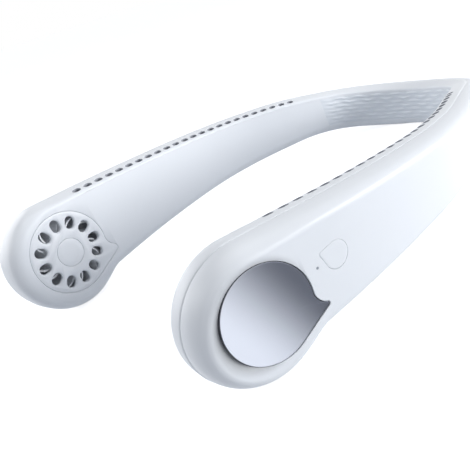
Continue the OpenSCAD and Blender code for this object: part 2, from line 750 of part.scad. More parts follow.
module stator_coils() {
    coil_in = tube_r + yoke_t + clear_gap / 2;
    coil_out = stator_r - shoe_t - clear_gap / 2;
    for (i = [0 : pole_count - 1]) on_head() rotate([0, 0, i * 360 / pole_count])
        translate([coil_in, 0, stator_low]) difference() {
            translate([0, -pole_w / 2 - coil_t, -coil_t])
                cube([coil_out - coil_in, pole_w + 2 * coil_t, stator_h + 2 * coil_t]);
            translate([-over, -pole_w / 2, 0]) cube([coil_out - coil_in + 2 * over, pole_w, stator_h]);
        }
}
// One blade: an outline that leans back as it goes out
blade_points_count = 6;
function blade_line(side) = [for (i = [0 : blade_points_count])
    let (share = i / blade_points_count,
         r = mix(hub_r - hub_t / 2, impeller_r, share),
         a = -blade_sweep * share * share)
    r * [cos(a), sin(a)] + side * blade_t / 2 * [-sin(a), cos(a)]];
module impeller() {
    on_head() difference() {
        union() {
            translate([0, 0, impeller_front]) cylinder(r = hub_r, h = impeller_back - impeller_front);
            translate([0, 0, impeller_back - back_plate_t]) cylinder(r = impeller_r, h = back_plate_t);
            for (i = [0 : blade_count - 1]) rotate([0, 0, i * 360 / blade_count])
                translate([0, 0, impeller_front]) linear_extrude(impeller_back - impeller_front) {
                    front = blade_line(1);
                    back = blade_line(-1);
                    polygon(concat(front, [for (j = [blade_points_count : -1 : 0]) back[j]]));
                }
        }
        translate([0, 0, can_front]) cylinder(r = can_r, h = impeller_back - can_front + over);
        translate([0, 0, impeller_front + hub_t / 2]) cylinder(r = shaft_r, h = hub_t);
    }
}
motor_screw_len = wall + base_t - clear_gap;
module motor_screws() {
    for (side = [0, 1]) mirror([side, 0, 0]) on_head() motor_screw_places()
        translate([0, 0, disc_low]) mirror([0, 0, 1]) {
            cylinder(r = screw_head_r, h = screw_head_h);
            cylinder(r = screw_r, h = motor_screw_len);
        }
}
module case_screws() {
    for (side = [0, 1]) mirror([side, 0, 0]) case_posts() translate([0, 0, -wall]) {
        cylinder(r = screw_head_r, h = screw_head_h);
        cylinder(r = screw_r, h = case_screw_len);
    }
}

// Button, its switch and board, and the light
button_skirt = 0.9;
skirt_t = 0.6;
switch_w = 5;
switch_h = 1.9;
plunger_r = 1.5;
switch_low = button_board_n + board_t;
plunger_low = switch_low + switch_h - button_travel - clear_gap;
skirt_low = half_t - wall - clear_gap - skirt_t;
module power_button() {
    on_band(button_s, button_z) {
        translate([0, 0, skirt_low]) linear_extrude(skirt_t) button_drop(button_skirt);
        translate([0, 0, skirt_low]) linear_extrude(half_t - skirt_low) button_drop();
    }
}
module switch_plunger() {
    on_band(button_s, button_z) translate([0, 0, plunger_low])
        cylinder(r = plunger_r, h = skirt_low - plunger_low);
}
module button_switch() {
    on_band(button_s, button_z) translate([0, 0, switch_low]) difference() {
        translate([-switch_w / 2, -switch_w / 2, 0]) cube([switch_w, switch_w, switch_h]);
        translate([0, 0, plunger_low - switch_low - button_travel - clear_gap])
            cylinder(r = plunger_r + fit_gap, h = switch_h + over);
    }
}
module button_board() {
    on_band(button_s, button_z) translate([board_front - button_s, -button_board_h / 2, button_board_n])
        cube([board_back - board_front, button_board_h, board_t]);
}
led_h = 0.8;
module indicator_led() {
    on_band(button_s, button_z) translate([light_s - button_s, light_z - button_z, switch_low])
        translate([-light_r, -light_r, 0]) cube([2 * light_r, 2 * light_r, led_h]);
}
module indicator_lens() {
    lens_low = switch_low + led_h + clear_gap;
    on_band(light_s, light_z) translate([0, 0, lens_low]) cylinder(r = light_r, h = half_t - lens_low);
}

// Battery, main board and charging socket behind the neck pad
cell_n = pad_t + wall - half_t + fit_gap / 3;
cell_corner = 1;
module cell_solid() {
    long = cell_len - 2 * cell_corner;
    low = cell_h - 2 * cell_corner;
    translate([-long / 2, -cell_h / 2, 0]) cube([long, cell_h, cell_t]);
    translate([-cell_len / 2, -low / 2, 0]) cube([cell_len, low, cell_t]);
}
module battery_cell(place) {
    s = band_len - abs(place) * cell_pitch;
    low = lead_z(s - cell_len / 2 + cell_corner) + lead_r + clear_gap;
    mirror([place < 0 ? 1 : 0, 0, 0]) on_band(s, low + cell_h / 2) translate([0, 0, cell_n]) cell_solid();
}
socket_wall = 0.3;
module usb_socket() {
    left() socket_place() difference() {
        slot(socket_w, socket_t, socket_depth);
        translate([0, 0, -over])
            slot(socket_w - 2 * socket_wall, socket_t - 2 * socket_wall, socket_depth - socket_wall + over);
    }
}
module main_board() {
    left() on_band(socket_s, board_z) translate([-main_board_len / 2, 0, board_n])
        cube([main_board_len, main_board_h, board_t]);
}

// The wall that ends the air duct, cut to the inside of the band
duct_end_s = socket_s - main_board_len / 2 - 3 * wall;
duct_end_t = 1.2;
module duct_end() {
    low = low_edge(duct_end_s);
    high = top_edge(duct_end_s);
    face_low = pad_depth(duct_end_s + duct_end_t) + wall + fit_gap - half_t;
    function inside(path) = [for (p = path) let (q = deepen(p, wall + fit_gap)) [max(q[0], face_low), q[1]]];
    on_band(duct_end_s) translate([-duct_end_t / 2, 0, 0]) rotate([0, 90, 0]) difference() {
        linear_extrude(duct_end_t) polygon(concat(
            [for (p = inside(outer_path)) [-p[0], low + p[1]]],
            [for (j = [len(outer_path) - 1 : -1 : 1]) let (p = inside(outer_path)[j]) [-p[0], high - p[1]]],
            [for (p = inside(top_path)) [-p[0], high - p[1]]],
            [for (j = [len(low_path) - 1 : -1 : 1]) let (p = inside(low_path)[j]) [-p[0], low + p[1]]]));
        translate([0, lead_z(duct_end_s), -over]) cylinder(r = lead_r + fit_gap, h = duct_end_t + 2 * over);
    }
}

// Motor leads run along the floor of the duct; the right one carries on round the nape
function lead_z(s) = low_edge(s) + wall + clear_gap + lead_r;
lead_step = 8;
lead_n = (base_low + floor_low) / 2;
lead_turn = -50;
lead_clear = 4;
function from_fan(r, turn, n) = [fan_back + r * cos(turn), head_r + fan_rise + r * sin(turn), n];
lead_start = [
    from_fan(base_r + lead_r / 2, lead_turn, lead_n),
    from_fan(impeller_r, lead_turn, lead_n),
    from_fan(impeller_r + lead_clear, lead_turn + 8, lead_n * 0.6)];
function floor_stops(from, to) = let (count = ceil((to - from) / lead_step))
    [for (i = [0 : count]) let (s = mix(from, to, i / count)) [s, lead_z(s), 0]];
board_end = socket_s + main_board_len / 2;
short_path = [for (p = concat(lead_start, floor_stops(head_r, board_end - main_board_len - clear_gap)))
    at(p[0], p[1], p[2])];
long_path = concat(
    [for (p = concat(lead_start, floor_stops(head_r, band_len))) at(p[0], p[1], p[2])],
    let (back = floor_stops(board_end + clear_gap, band_len))
        [for (i = [len(back) - 2 : -1 : 0]) let (q = at(back[i][0], back[i][1], back[i][2]))
            [-q[0], q[1], q[2]]]);
module lead(path) {
    last = len(path) - 1;
    sweep_rows([for (i = [0 : last])
        let (d = unit(path[min(i + 1, last)] - path[max(i - 1, 0)]),
             u = unit(cross(d, [0, 0, 1])), v = cross(u, d))
        [for (j = [0 : lead_sides - 1]) let (a = 360 * j / lead_sides)
            path[i] + lead_r * (cos(a) * u + sin(a) * v)]]);
}

color("white") outer_shell(true);  // right_outer_shell
color("white") left() outer_shell(false);  // left_outer_shell
color("white") inner_shell(false);  // right_inner_shell
color("white") left() inner_shell(true);  // left_inner_shell
color("white") outlet_strip();  // right_outlet_strip
color("white") left() outlet_strip();  // left_outlet_strip
color("silver") head_disc();  // right_head_disc
color("silver") left() head_disc();  // left_head_disc
color("white") intake_grille();  // right_intake_grille
color("white") left() intake_grille();  // left_intake_grille
color("white") hub_cap();  // right_hub_cap
color("white") left() hub_cap();  // left_hub_cap
color("lightsteelblue") neck_pad();
color("lightgray") impeller();  // right_impeller
color("lightgray") left() impeller();  // left_impeller
color("silver") rotor_can();  // right_rotor_can
color("silver") left() rotor_can();  // left_rotor_can
color("dimgray") magnet_ring();  // right_magnet_ring
color("dimgray") left() magnet_ring();  // left_magnet_ring
color("silver") motor_shaft();  // right_motor_shaft
color("silver") left() motor_shaft();  // left_motor_shaft
color("gray") stator();  // right_stator
color("gray") left() stator();  // left_stator
color("peru") stator_coils();  // right_stator_coils
color("peru") left() stator_coils();  // left_stator_coils
color("whitesmoke") motor_base();  // right_motor_base
color("whitesmoke") left() motor_base();  // left_motor_base
color("silver") bearings();  // right_bearings
color("silver") left() bearings();  // left_bearings
color("gray") motor_screws();
color("gray") case_screws();
color("white") power_button();
color("dimgray") switch_plunger();
color("silver") button_switch();
color("darkgreen") button_board();
color("ivory") indicator_led();
color("lightblue") indicator_lens();
color("steelblue") battery_cell(1);  // battery_cell_right
color("steelblue") battery_cell(0);  // battery_cell_middle
color("steelblue") battery_cell(-1);  // battery_cell_left
color("darkgreen") main_board();
color("silver") usb_socket();
color("whitesmoke") duct_end();  // right_duct_end
color("whitesmoke") left() duct_end();  // left_duct_end
color("black") lead(long_path);  // right_motor_lead
color("black") left() lead(short_path);  // left_motor_lead
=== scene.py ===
# Outer casings
# The two outer halves of the horseshoe band, moulded in white plastic and screwed to the inner
# halves. Each is one sheet swept along the side outline, rounded over its shoulder, with a crater
# worn into its head, then given a wall. The disc's pocket and the button's hole are cut last.
import math

import bmesh
import bpy
from mathutils import Matrix, Vector


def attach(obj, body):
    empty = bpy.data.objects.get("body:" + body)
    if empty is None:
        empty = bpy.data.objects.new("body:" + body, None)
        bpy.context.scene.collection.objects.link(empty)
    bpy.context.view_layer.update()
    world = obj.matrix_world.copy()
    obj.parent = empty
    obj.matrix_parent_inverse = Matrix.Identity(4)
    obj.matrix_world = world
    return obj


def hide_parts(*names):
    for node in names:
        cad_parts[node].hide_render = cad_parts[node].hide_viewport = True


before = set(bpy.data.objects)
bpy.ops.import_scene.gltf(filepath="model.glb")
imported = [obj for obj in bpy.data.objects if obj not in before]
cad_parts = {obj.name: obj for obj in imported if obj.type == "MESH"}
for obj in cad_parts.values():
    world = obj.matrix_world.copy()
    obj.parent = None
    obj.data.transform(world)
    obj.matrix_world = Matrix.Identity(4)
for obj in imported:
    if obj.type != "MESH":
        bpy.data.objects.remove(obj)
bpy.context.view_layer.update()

MM = 0.001
BAND_LEN = 284.0
BAND_T = 19.2
HALF_T = BAND_T / 2
WALL = 1.6
HEAD_R = 27.5
TOE_IN = 9.0
FIT_GAP = 0.15
HEADINGS = [(-2 * HEAD_R, 90 - TOE_IN), (0.11 * BAND_LEN, 90 - TOE_IN), (0.35 * BAND_LEN, 89.0),
            (0.55 * BAND_LEN, 107.5), (0.75 * BAND_LEN, 112.5), (BAND_LEN, 180.0)]


def heading(s):
    """Turn of the band at length s, in degrees from straight across."""
    s = min(max(s, HEADINGS[0][0]), BAND_LEN)
    for (s0, h0), (s1, h1) in zip(HEADINGS, HEADINGS[1:]):
        if s <= s1:
            return h0 + (h1 - h0) * (s - s0) / (s1 - s0)
    return HEADINGS[-1][1]


PLAN_COUNT = math.ceil(BAND_LEN + 2 * HEAD_R)
PLAN_STEP = (BAND_LEN + 2 * HEAD_R) / PLAN_COUNT
plan = [(0.0, 0.0)]
for i in range(PLAN_COUNT):
    turn = math.radians(heading(-2 * HEAD_R + (i + 0.5) * PLAN_STEP))
    x, y = plan[-1]
    plan.append((x + PLAN_STEP * math.cos(turn), y + PLAN_STEP * math.sin(turn)))
SHOULDER_W = 6.0
NOSE_N = 0.35 * HALF_T
NOSE_INSET = 0.1 * SHOULDER_W


def on_plan(s):
    """The plan's point at length s, before it is centred."""
    u = min(max((s + 2 * HEAD_R) / PLAN_STEP, 0.0), PLAN_COUNT - 1e-6)
    i = int(u)
    f = u - i
    return (plan[i][0] * (1 - f) + plan[i + 1][0] * f, plan[i][1] * (1 - f) + plan[i + 1][1] * f)


start = math.radians(90 - TOE_IN)
FRONT_Y = on_plan(0)[1] - (HEAD_R - NOSE_INSET) * math.sin(start) - NOSE_N * math.cos(start)
CENTRE_Y = (FRONT_Y + plan[-1][1] + HALF_T) / 2


def at(s, z, n):
    """The point of the right half at length s, height z and distance n outwards, in metres."""
    x, y = on_plan(s)
    h = math.radians(heading(s))
    return Vector((x - plan[-1][0] + n * math.sin(h), y - CENTRE_Y - n * math.cos(h), z)) * MM


def on_band(s, z):
    """Axes on the band: x along it, y up and z outwards, in millimetres."""
    h = math.radians(heading(s))
    p = at(s, z, 0)
    return Matrix(((math.cos(h) * MM, 0, math.sin(h) * MM, p.x),
                   (math.sin(h) * MM, 0, -math.cos(h) * MM, p.y),
                   (0, MM, 0, p.z), (0, 0, 0, 1)))


SHOULDER_H = 43.2
SHOULDER_S = 0.58 * BAND_LEN
NAPE_H = 28.0
ROOT_H = 5.6
ARCH_H = 11.8
ARCH_S = 0.65 * BAND_LEN
NOTCH_BLEND = 5.4
REST_S = BAND_LEN - 12.0
RISE = SHOULDER_H - HEAD_R
FALL_ANGLE = math.asin(HEAD_R / math.hypot(SHOULDER_S, RISE)) - math.atan2(RISE, SHOULDER_S)
FALL = math.tan(FALL_ANGLE)


def hermite(t, a, ma, b, mb):
    """A curve from a to b with end slopes ma and mb."""
    return ((2 * t ** 3 - 3 * t * t + 1) * a + (t ** 3 - 2 * t * t + t) * ma
            + (3 * t * t - 2 * t ** 3) * b + (t ** 3 - t * t) * mb)


def soft_min(a, b, reach):
    """The lower of two heights, with a soft corner."""
    return min(a, b) - max(reach - abs(a - b), 0) ** 2 / (4 * reach)


def mix(a, b, t):
    """The value at share t of the way from a to b."""
    return a + (b - a) * t


def ease(t):
    """A share from 0 to 1 with soft ends."""
    t = min(max(t, 0.0), 1.0)
    return t * t * (3 - 2 * t)


def head_rise(s):
    """How far the head's circle reaches above its centre at length s."""
    return math.sqrt(max(HEAD_R * HEAD_R - s * s, 0))


def top_edge(s):
    """Height of the band's upper edge."""
    if s < HEAD_R * math.sin(FALL_ANGLE):
        return HEAD_R + head_rise(s)
    if s < SHOULDER_S:
        return SHOULDER_H + FALL * (SHOULDER_S - s)
    run = BAND_LEN - SHOULDER_S
    return hermite((s - SHOULDER_S) / run, SHOULDER_H, -FALL * run, NAPE_H, 0)


def arm_low(s):
    """Height of the arm's lower edge, carried on to the head's centre."""
    if s < ARCH_S:
        return ARCH_H - (ARCH_H - ROOT_H) * (1 - s / ARCH_S) ** 2
    return hermite((s - ARCH_S) / (REST_S - ARCH_S), ARCH_H, 0, 0, 0) if s < REST_S else 0.0


def low_edge(s):
    """Height of the band's lower edge."""
    if s <= 0:
        return HEAD_R - head_rise(s)
    return soft_min(HEAD_R - head_rise(s) if s < HEAD_R else s, arm_low(s), NOTCH_BLEND)


def mid_edge(s):
    """The height halfway between the two edges."""
    return (low_edge(s) + top_edge(s)) / 2


PAD_START = 206.0
PAD_SLANT = 0.3
PAD_RAMP = 0.5
SLANT_REACH = 34.0
STRIP_START = 13.0
STRIP_RUN = 6.5


def steps(a, b, count):
    """Even steps from a towards b, without b itself."""
    return [mix(a, b, i / count) for i in range(count)]


FRONT_STEPS = 30
stops = (steps(0, STRIP_START, 10) + steps(STRIP_START, STRIP_START + STRIP_RUN, 10)
         + steps(STRIP_START + STRIP_RUN, HEAD_R, 14) + steps(HEAD_R, PAD_START - PAD_RAMP, 92)
         + steps(PAD_START - PAD_RAMP, PAD_START, 2) + steps(PAD_START, BAND_LEN, 40) + [BAND_LEN])
LAST = FRONT_STEPS + len(stops) - 1


def outline_row(k, side):
    """A station of the side outline: its length and height, and the normal that points inwards."""
    if k < FRONT_STEPS:
        a = math.radians(90 * k / FRONT_STEPS)
        c, rise = math.cos(a), side * math.sin(a)
        return (-HEAD_R * c, HEAD_R + HEAD_R * rise, c, -rise)
    s = stops[k - FRONT_STEPS]
    return edge_row(s - side * PAD_SLANT * max(0, 1 - abs(s - PAD_START) / SLANT_REACH), side)


NEAR = 0.5


def edge_row(s, side):
    """The same for a length behind the head's centre, with the slope taken over a millimetre."""
    edge = top_edge if side > 0 else low_edge
    if s < NEAR or s > BAND_LEN - NEAR:
        return (s, edge(s), 0, -side)
    rise = edge(s + NEAR) - edge(s - NEAR)
    long = math.hypot(rise, 2 * NEAR)
    return (s, edge(s), side * rise / long, -side * 2 * NEAR / long)


def middle_row(k):
    """The length and height where row k ends, in the middle of the band."""
    if k < FRONT_STEPS:
        return (-HEAD_R / 2 * math.cos(math.radians(90 * k / FRONT_STEPS)), HEAD_R)
    s = stops[k - FRONT_STEPS]
    return (s, mid_edge(s))


def station(i):
    """Row i of a casing, from the nape along the lower edge, round the head and back on top."""
    k = abs(i - LAST)
    side = -1 if i < LAST else 1
    return k, side


MERGE = 0.01
SLIVER = 0.005


def sheet_mesh(name, rows, cols, place, outward, wall):
    """A grid whose points are placed one by one, merged where they meet, then given a wall."""
    bm = bmesh.new()
    bmesh.ops.create_grid(bm, x_segments=rows, y_segments=cols, size=0.5)
    for v in bm.verts:
        v.co = place(round((v.co.x + 0.5) * rows), round((v.co.y + 0.5) * cols))
    bmesh.ops.remove_doubles(bm, verts=bm.verts, dist=MERGE * MM)
    bmesh.ops.dissolve_degenerate(bm, dist=SLIVER * MM, edges=bm.edges)
    bm.normal_update()
    facing = sum((f.normal * f.calc_area() for f in bm.faces), Vector())
    if facing.dot(Vector(outward)) < 0:
        bmesh.ops.reverse_faces(bm, faces=bm.faces)
    bmesh.ops.solidify(bm, geom=bm.faces[:], thickness=wall * MM)
    bmesh.ops.recalc_face_normals(bm, faces=bm.faces)
    return finished(name, bm)


def finished(name, bm):
    """Makes an object at the origin from a bmesh."""
    mesh = bpy.data.meshes.new(name)
    bm.to_mesh(mesh)
    bm.free()
    obj = bpy.data.objects.new(name, mesh)
    bpy.context.scene.collection.objects.link(obj)
    return obj


def boolean(obj, tool, operation="DIFFERENCE"):
    """Cuts or joins a tool shape, then deletes the tool."""
    cut = obj.modifiers.new("cut", "BOOLEAN")
    cut.operation = operation
    cut.solver = "MANIFOLD"
    cut.object = tool
    graph = bpy.context.evaluated_depsgraph_get()
    mesh = bpy.data.meshes.new_from_object(obj.evaluated_get(graph))
    obj.modifiers.clear()
    obj.data = mesh
    bpy.data.objects.remove(tool)


def mirrored(obj, name):
    """The other side's copy, turned the right way out."""
    bm = bmesh.new()
    bm.from_mesh(obj.data)
    bmesh.ops.scale(bm, vec=(-1, 1, 1), verts=bm.verts)
    bmesh.ops.reverse_faces(bm, faces=bm.faces)
    return finished(name, bm)


def turned(obj, matrix):
    """Moves a shape to its place in the frame."""
    obj.data.transform(matrix)
    return obj


def dress(obj, material, slot, *nodes, body="band", crease=32, painted_shade=None):
    """Gives a piece its finish, attaches it to its body and hides the CAD nodes it stands for."""
    painted_shade_faces = [f.index for f in obj.data.polygons if f.material_index == 1]
    obj.data.materials.clear()
    obj.data.materials.append(material)
    # Faces cut by a marked cutter get the second material, a darker grey as painted shade.
    if painted_shade:
        obj.data.materials.append(painted_shade)
        for i in painted_shade_faces:
            obj.data.polygons[i].material_index = 1
    obj.data.shade_smooth()
    obj.data.set_sharp_from_angle(angle=math.radians(crease))
    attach(obj, body)
    if nodes:
        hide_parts(*nodes)
    return obj


ARM_SHOULDER = [(0.04, 0.3), (1.7, 0.34), (3.4, 0.52), (5.0, 0.85), (6.4, 1.3), (7.6, 1.95),
                (8.5, 2.7), (9.1, 3.5), (9.45, 4.4), (HALF_T, 5.5)]
HEAD_SHOULDER = [(0.04, 0.3), (1.7, 0.4), (3.4, 0.68), (4.7, 1.05), (5.9, 1.55), (7.0, 2.15),
                 (7.9, 2.8), (8.6, 3.5), (9.2, 4.3), (HALF_T, 5.5)]
FAN_BACK = 0.8
FAN_Z = HEAD_R + 1.2
DISC_R = 18.7
DISC_TIP = 25.5
DISC_ANGLE = -23.0
DISC_TIP_R = 0.9
HOLLOW_R = 7.0
DISC_DOWN = 0.35
DISC_TURN = math.radians(120)
DISC_LONG = 1.06
DISC_SHORT = 0.96
DISC_SINK = 0.9
DISC_T = 1.2
DISC_TOP = HALF_T - DISC_SINK
DISC_LOW = DISC_TOP - DISC_T
FLOOR_LOW = DISC_LOW - WALL
CRATER_R = 20.4
CRATER_REACH = 4.8
CRATER_DEEP = 1.95
CRATER_CURVE = 1.4
CRATER_S = FAN_BACK - 2.75
CRATER_Z = FAN_Z + 0.6
RIM_RISE = 0.3
RIM_PROUD = 0.12
RIM_SOFT = 0.4
WORN_ABOVE = 5.0


def spline(points, t):
    """A smooth curve through points, at t from 0 to the last index."""
    i = min(int(t), len(points) - 2)
    f = t - i
    p = [points[min(max(i + k, 0), len(points) - 1)] for k in (-1, 0, 1, 2)]
    return tuple(0.5 * (2 * p[1][c] + (p[2][c] - p[0][c]) * f
                        + (2 * p[0][c] - 5 * p[1][c] + 4 * p[2][c] - p[3][c]) * f * f
                        + (3 * p[1][c] - p[0][c] - 3 * p[2][c] + p[3][c]) * f ** 3) for c in (0, 1))


SHOULDER_COLS = 20
FACE_COLS = 14
FACE_STEP = 0.42
SHOULDER_BLEND = 30.0
LAST_COL = SHOULDER_COLS + FACE_COLS


def shoulder_point(j, share):
    """Column j of the outer section, from the arm's shoulder to the head's fuller one by share."""
    if j > SHOULDER_COLS:
        return HALF_T, ARM_SHOULDER[-1][1] + FACE_STEP * (j - SHOULDER_COLS)
    t = (len(ARM_SHOULDER) - 1) * j / SHOULDER_COLS
    head, arm = spline(HEAD_SHOULDER, t), spline(ARM_SHOULDER, t)
    return mix(arm[0], head[0], share), mix(arm[1], head[1], share)


def outer_height(s, z, n):
    """The face's distance outwards, with the crater round the disc worn into it."""
    rise = math.hypot(s - CRATER_S, z - CRATER_Z) - CRATER_R
    if rise > 0:
        bowl = RIM_RISE * rise
    else:
        bowl = -CRATER_DEEP * min(-rise / CRATER_REACH, 1) ** CRATER_CURVE
    return soft_min(n, HALF_T + RIM_PROUD + bowl, RIM_SOFT) if n > WORN_ABOVE else n


def outer_place(i, j):
    """The place of a point of the outer casing's grid."""
    k, side = station(i)
    if j > LAST_COL:
        s, z = middle_row(k)
        return at(s, z, outer_height(s, z, HALF_T))
    row = outline_row(k, side)
    n, inset = shoulder_point(j, 1 - ease(row[0] / SHOULDER_BLEND))
    s, z = row[0] + row[2] * inset, row[1] + row[3] * inset
    return at(s, z, outer_height(s, z, n))


right_outer = sheet_mesh("right_outer_casing", 2 * LAST, LAST_COL + 1, outer_place, (1, 1, 0),
                         WALL)


def drop_points(r, tip, angle, tip_r, hollow_r, grow=0.0):
    """A round outline with one drop-shaped tip, hollow on its upper side if asked."""
    r, tip, tip_r = r + grow, tip + grow, tip_r + grow
    hollow_r = hollow_r - grow if hollow_r else 0
    reach = tip - tip_r
    a = math.radians(angle)
    tip_at = (reach * math.cos(a), reach * math.sin(a))
    low = a - math.acos((r - tip_r) / reach)

    def arc(c, radius, turn0, turn1):
        count = max(math.ceil(abs(turn1 - turn0) / math.radians(3)), 3)
        return [(c[0] + radius * math.cos(mix(turn0, turn1, i / count)),
                 c[1] + radius * math.sin(mix(turn0, turn1, i / count))) for i in range(count + 1)]

    if not hollow_r:
        points = (arc((0, 0), r, 2 * a - low, low + 2 * math.pi)
                  + arc(tip_at, tip_r, low, 2 * a - low))
    else:
        far, near = r + hollow_r, tip_r + hollow_r
        rise = math.acos((far * far + reach * reach - near * near) / (2 * far * reach))
        hollow_at = (far * math.cos(a + rise), far * math.sin(a + rise))
        tip_turn = math.atan2(hollow_at[1] - tip_at[1], hollow_at[0] - tip_at[0])
        if tip_turn < low:
            tip_turn += 2 * math.pi
        back = tip_turn + math.pi if tip_turn < math.pi else tip_turn - math.pi
        points = (arc((0, 0), r, a + rise, low + 2 * math.pi)
                  + arc(tip_at, tip_r, low, tip_turn)
                  + arc(hollow_at, hollow_r, back, a + rise + math.pi))
    kept = [points[0]]
    for p in points[1:]:
        if math.dist(p, kept[-1]) > MERGE and math.dist(p, points[0]) > MERGE:
            kept.append(p)
    return kept


def grown(outline, *levels):
    """Rings for a stack: the outline at each growth, or circle at each radius, with its level."""
    return [(outline(grow), level) for grow, level in levels]


def stacked(name, rings, middle=None):
    """A closed solid through rings of equal count, each a list of points and a level.

    The last ring is filled flat, or drawn to a point in the middle at the given level.
    """
    bm = bmesh.new()
    points, level = rings[0]
    loop = [bm.verts.new((x, y, level)) for x, y in points]
    edges = [bm.edges.new((a, b)) for a, b in zip(loop, loop[1:] + loop[:1])]
    bmesh.ops.edgeloop_fill(bm, edges=edges)
    for points, level in rings[1:]:
        made = bmesh.ops.extrude_edge_only(bm, edges=edges)["geom"]
        edges = [e for e in made if isinstance(e, bmesh.types.BMEdge)]
        old = set(loop)
        above = {}
        for v in (v for v in made if isinstance(v, bmesh.types.BMVert)):
            for e in v.link_edges:
                if e.other_vert(v) in old:
                    above[e.other_vert(v)] = v
        loop = [above[v] for v in loop]
        for v, (x, y) in zip(loop, points):
            v.co = (x, y, level)
    if middle is None:
        bmesh.ops.edgeloop_fill(bm, edges=edges)
    else:
        made = bmesh.ops.extrude_edge_only(bm, edges=edges)["geom"]
        bmesh.ops.pointmerge(bm, verts=[v for v in made if isinstance(v, bmesh.types.BMVert)],
                             merge_co=(0, 0, middle))
    bmesh.ops.recalc_face_normals(bm, faces=bm.faces)
    return finished(name, bm)


def disc_outline(grow):
    """The disc's drop, a little longer from its upper front to its lower back."""
    c, s = math.cos(DISC_TURN), math.sin(DISC_TURN)
    points = []
    for x, y in drop_points(DISC_R, DISC_TIP, DISC_ANGLE, DISC_TIP_R, HOLLOW_R, grow):
        along, across = (x * c + y * s) * DISC_LONG, (y * c - x * s) * DISC_SHORT
        points.append((along * c - across * s, along * s + across * c - DISC_DOWN))
    return points


on_head = on_band(FAN_BACK, FAN_Z)
BOSS_WALL = 0.6
BOSS_TOP = HALF_T - 1.0
BOSS_SUNK = 0.4
boss = stacked("boss", grown(disc_outline, (BOSS_WALL, FLOOR_LOW), (BOSS_WALL, BOSS_TOP)))
for v in boss.data.vertices:
    if v.co.z > DISC_LOW:
        worn = outer_height(FAN_BACK + v.co.x, FAN_Z + v.co.y, HALF_T)
        v.co.z = min(BOSS_TOP, worn - BOSS_SUNK)
boolean(right_outer, turned(boss, on_head), "UNION")
LIP = 0.28
ABOVE_FACE = 0.6
lip_turns = [math.radians(a) for a in (20, 40, 60, 75)]
pocket = stacked("pocket", grown(
    disc_outline, (FIT_GAP, DISC_LOW), (FIT_GAP, HALF_T - LIP),
    *[(FIT_GAP + LIP * (1 - math.cos(a)), HALF_T - LIP + LIP * math.sin(a)) for a in lip_turns],
    (FIT_GAP + 1.6 * LIP, HALF_T + ABOVE_FACE)))
boolean(right_outer, turned(pocket, on_head))
left_outer = mirrored(right_outer, "left_outer_casing")

BUTTON_S = 33.4
BUTTON_Z = 32.8
BUTTON_R = 5.4
BUTTON_TIP = 8.1
BUTTON_ANGLE = 149.0
BUTTON_TIP_R = 0.9
BELOW_WALL = 6.0
LIGHT_S = 23.8
LIGHT_Z = 32.8
LIGHT_R = 0.5
LIGHT_GAP = 0.03


def button_outline(grow):
    """The button's drop, with its tip towards the light."""
    return drop_points(BUTTON_R, BUTTON_TIP, BUTTON_ANGLE, BUTTON_TIP_R, 0, grow)


hole = stacked("hole", grown(
    button_outline, (FIT_GAP, BELOW_WALL), (FIT_GAP, HALF_T - 0.06),
    (FIT_GAP + 0.2, HALF_T + 0.14), (FIT_GAP + 0.4, HALF_T + 0.5)))
boolean(right_outer, turned(hole, on_band(BUTTON_S, BUTTON_Z)))


def circle(r, count=48):
    """A round outline."""
    turns = [2 * math.pi * i / count for i in range(count)]
    return [(r * math.cos(a), r * math.sin(a)) for a in turns]


light_hole = stacked("light_hole", grown(
    circle, (LIGHT_R + LIGHT_GAP, BELOW_WALL), (LIGHT_R + LIGHT_GAP, HALF_T - 0.1),
    (LIGHT_R + 0.2, HALF_T + 0.1)))
boolean(right_outer, turned(light_hole, on_band(LIGHT_S, LIGHT_Z)))


def base_material(name, colour, roughness, metallic=0.0):
    """A Principled material with plain values, and its nodes for what is added."""
    material = bpy.data.materials.new(name)
    material.use_nodes = True
    nodes, links = material.node_tree.nodes, material.node_tree.links
    shader = nodes["Principled BSDF"]
    shader.inputs["Base Color"].default_value = (*colour, 1)
    shader.inputs["Roughness"].default_value = roughness
    shader.inputs["Metallic"].default_value = metallic
    return material, nodes, links, shader


def add(nodes, kind, **values):
    """A shader node with its inputs or settings filled in."""
    node = nodes.new(kind)
    for key, value in values.items():
        if key in node.inputs:
            node.inputs[key].default_value = value
        else:
            setattr(node, key, value)
    return node


def noise(nodes, links, scale, detail):
    """A noise texture on the piece's own coordinates."""
    place = add(nodes, "ShaderNodeTexCoord")
    texture = add(nodes, "ShaderNodeTexNoise", Scale=scale, Detail=detail)
    links.new(place.outputs["Object"], texture.inputs["Vector"])
    return texture.outputs["Fac"]


def fine_grain(nodes, links, shader, scale, detail, strength):
    """A grain a tenth of a millimetre deep, as shallow as its strength."""
    bump = add(nodes, "ShaderNodeBump", Strength=strength, Distance=0.1 * MM)
    links.new(noise(nodes, links, scale, detail), bump.inputs["Height"])
    links.new(bump.outputs["Normal"], shader.inputs["Normal"])


def ranged(nodes, links, value, given, wanted, **settings):
    """Maps a value from a given range to a wanted one."""
    node = add(nodes, "ShaderNodeMapRange", **settings)
    node.inputs["From Min"].default_value, node.inputs["From Max"].default_value = given
    node.inputs["To Min"].default_value, node.inputs["To Max"].default_value = wanted
    links.new(value, node.inputs["Value"])
    return node.outputs["Result"]


MOULD_GRAIN = 900.0
BROAD_PATCHES = 28.0
UNEVEN_GLOSS = 0.05
UNEVEN_TONE = 0.015


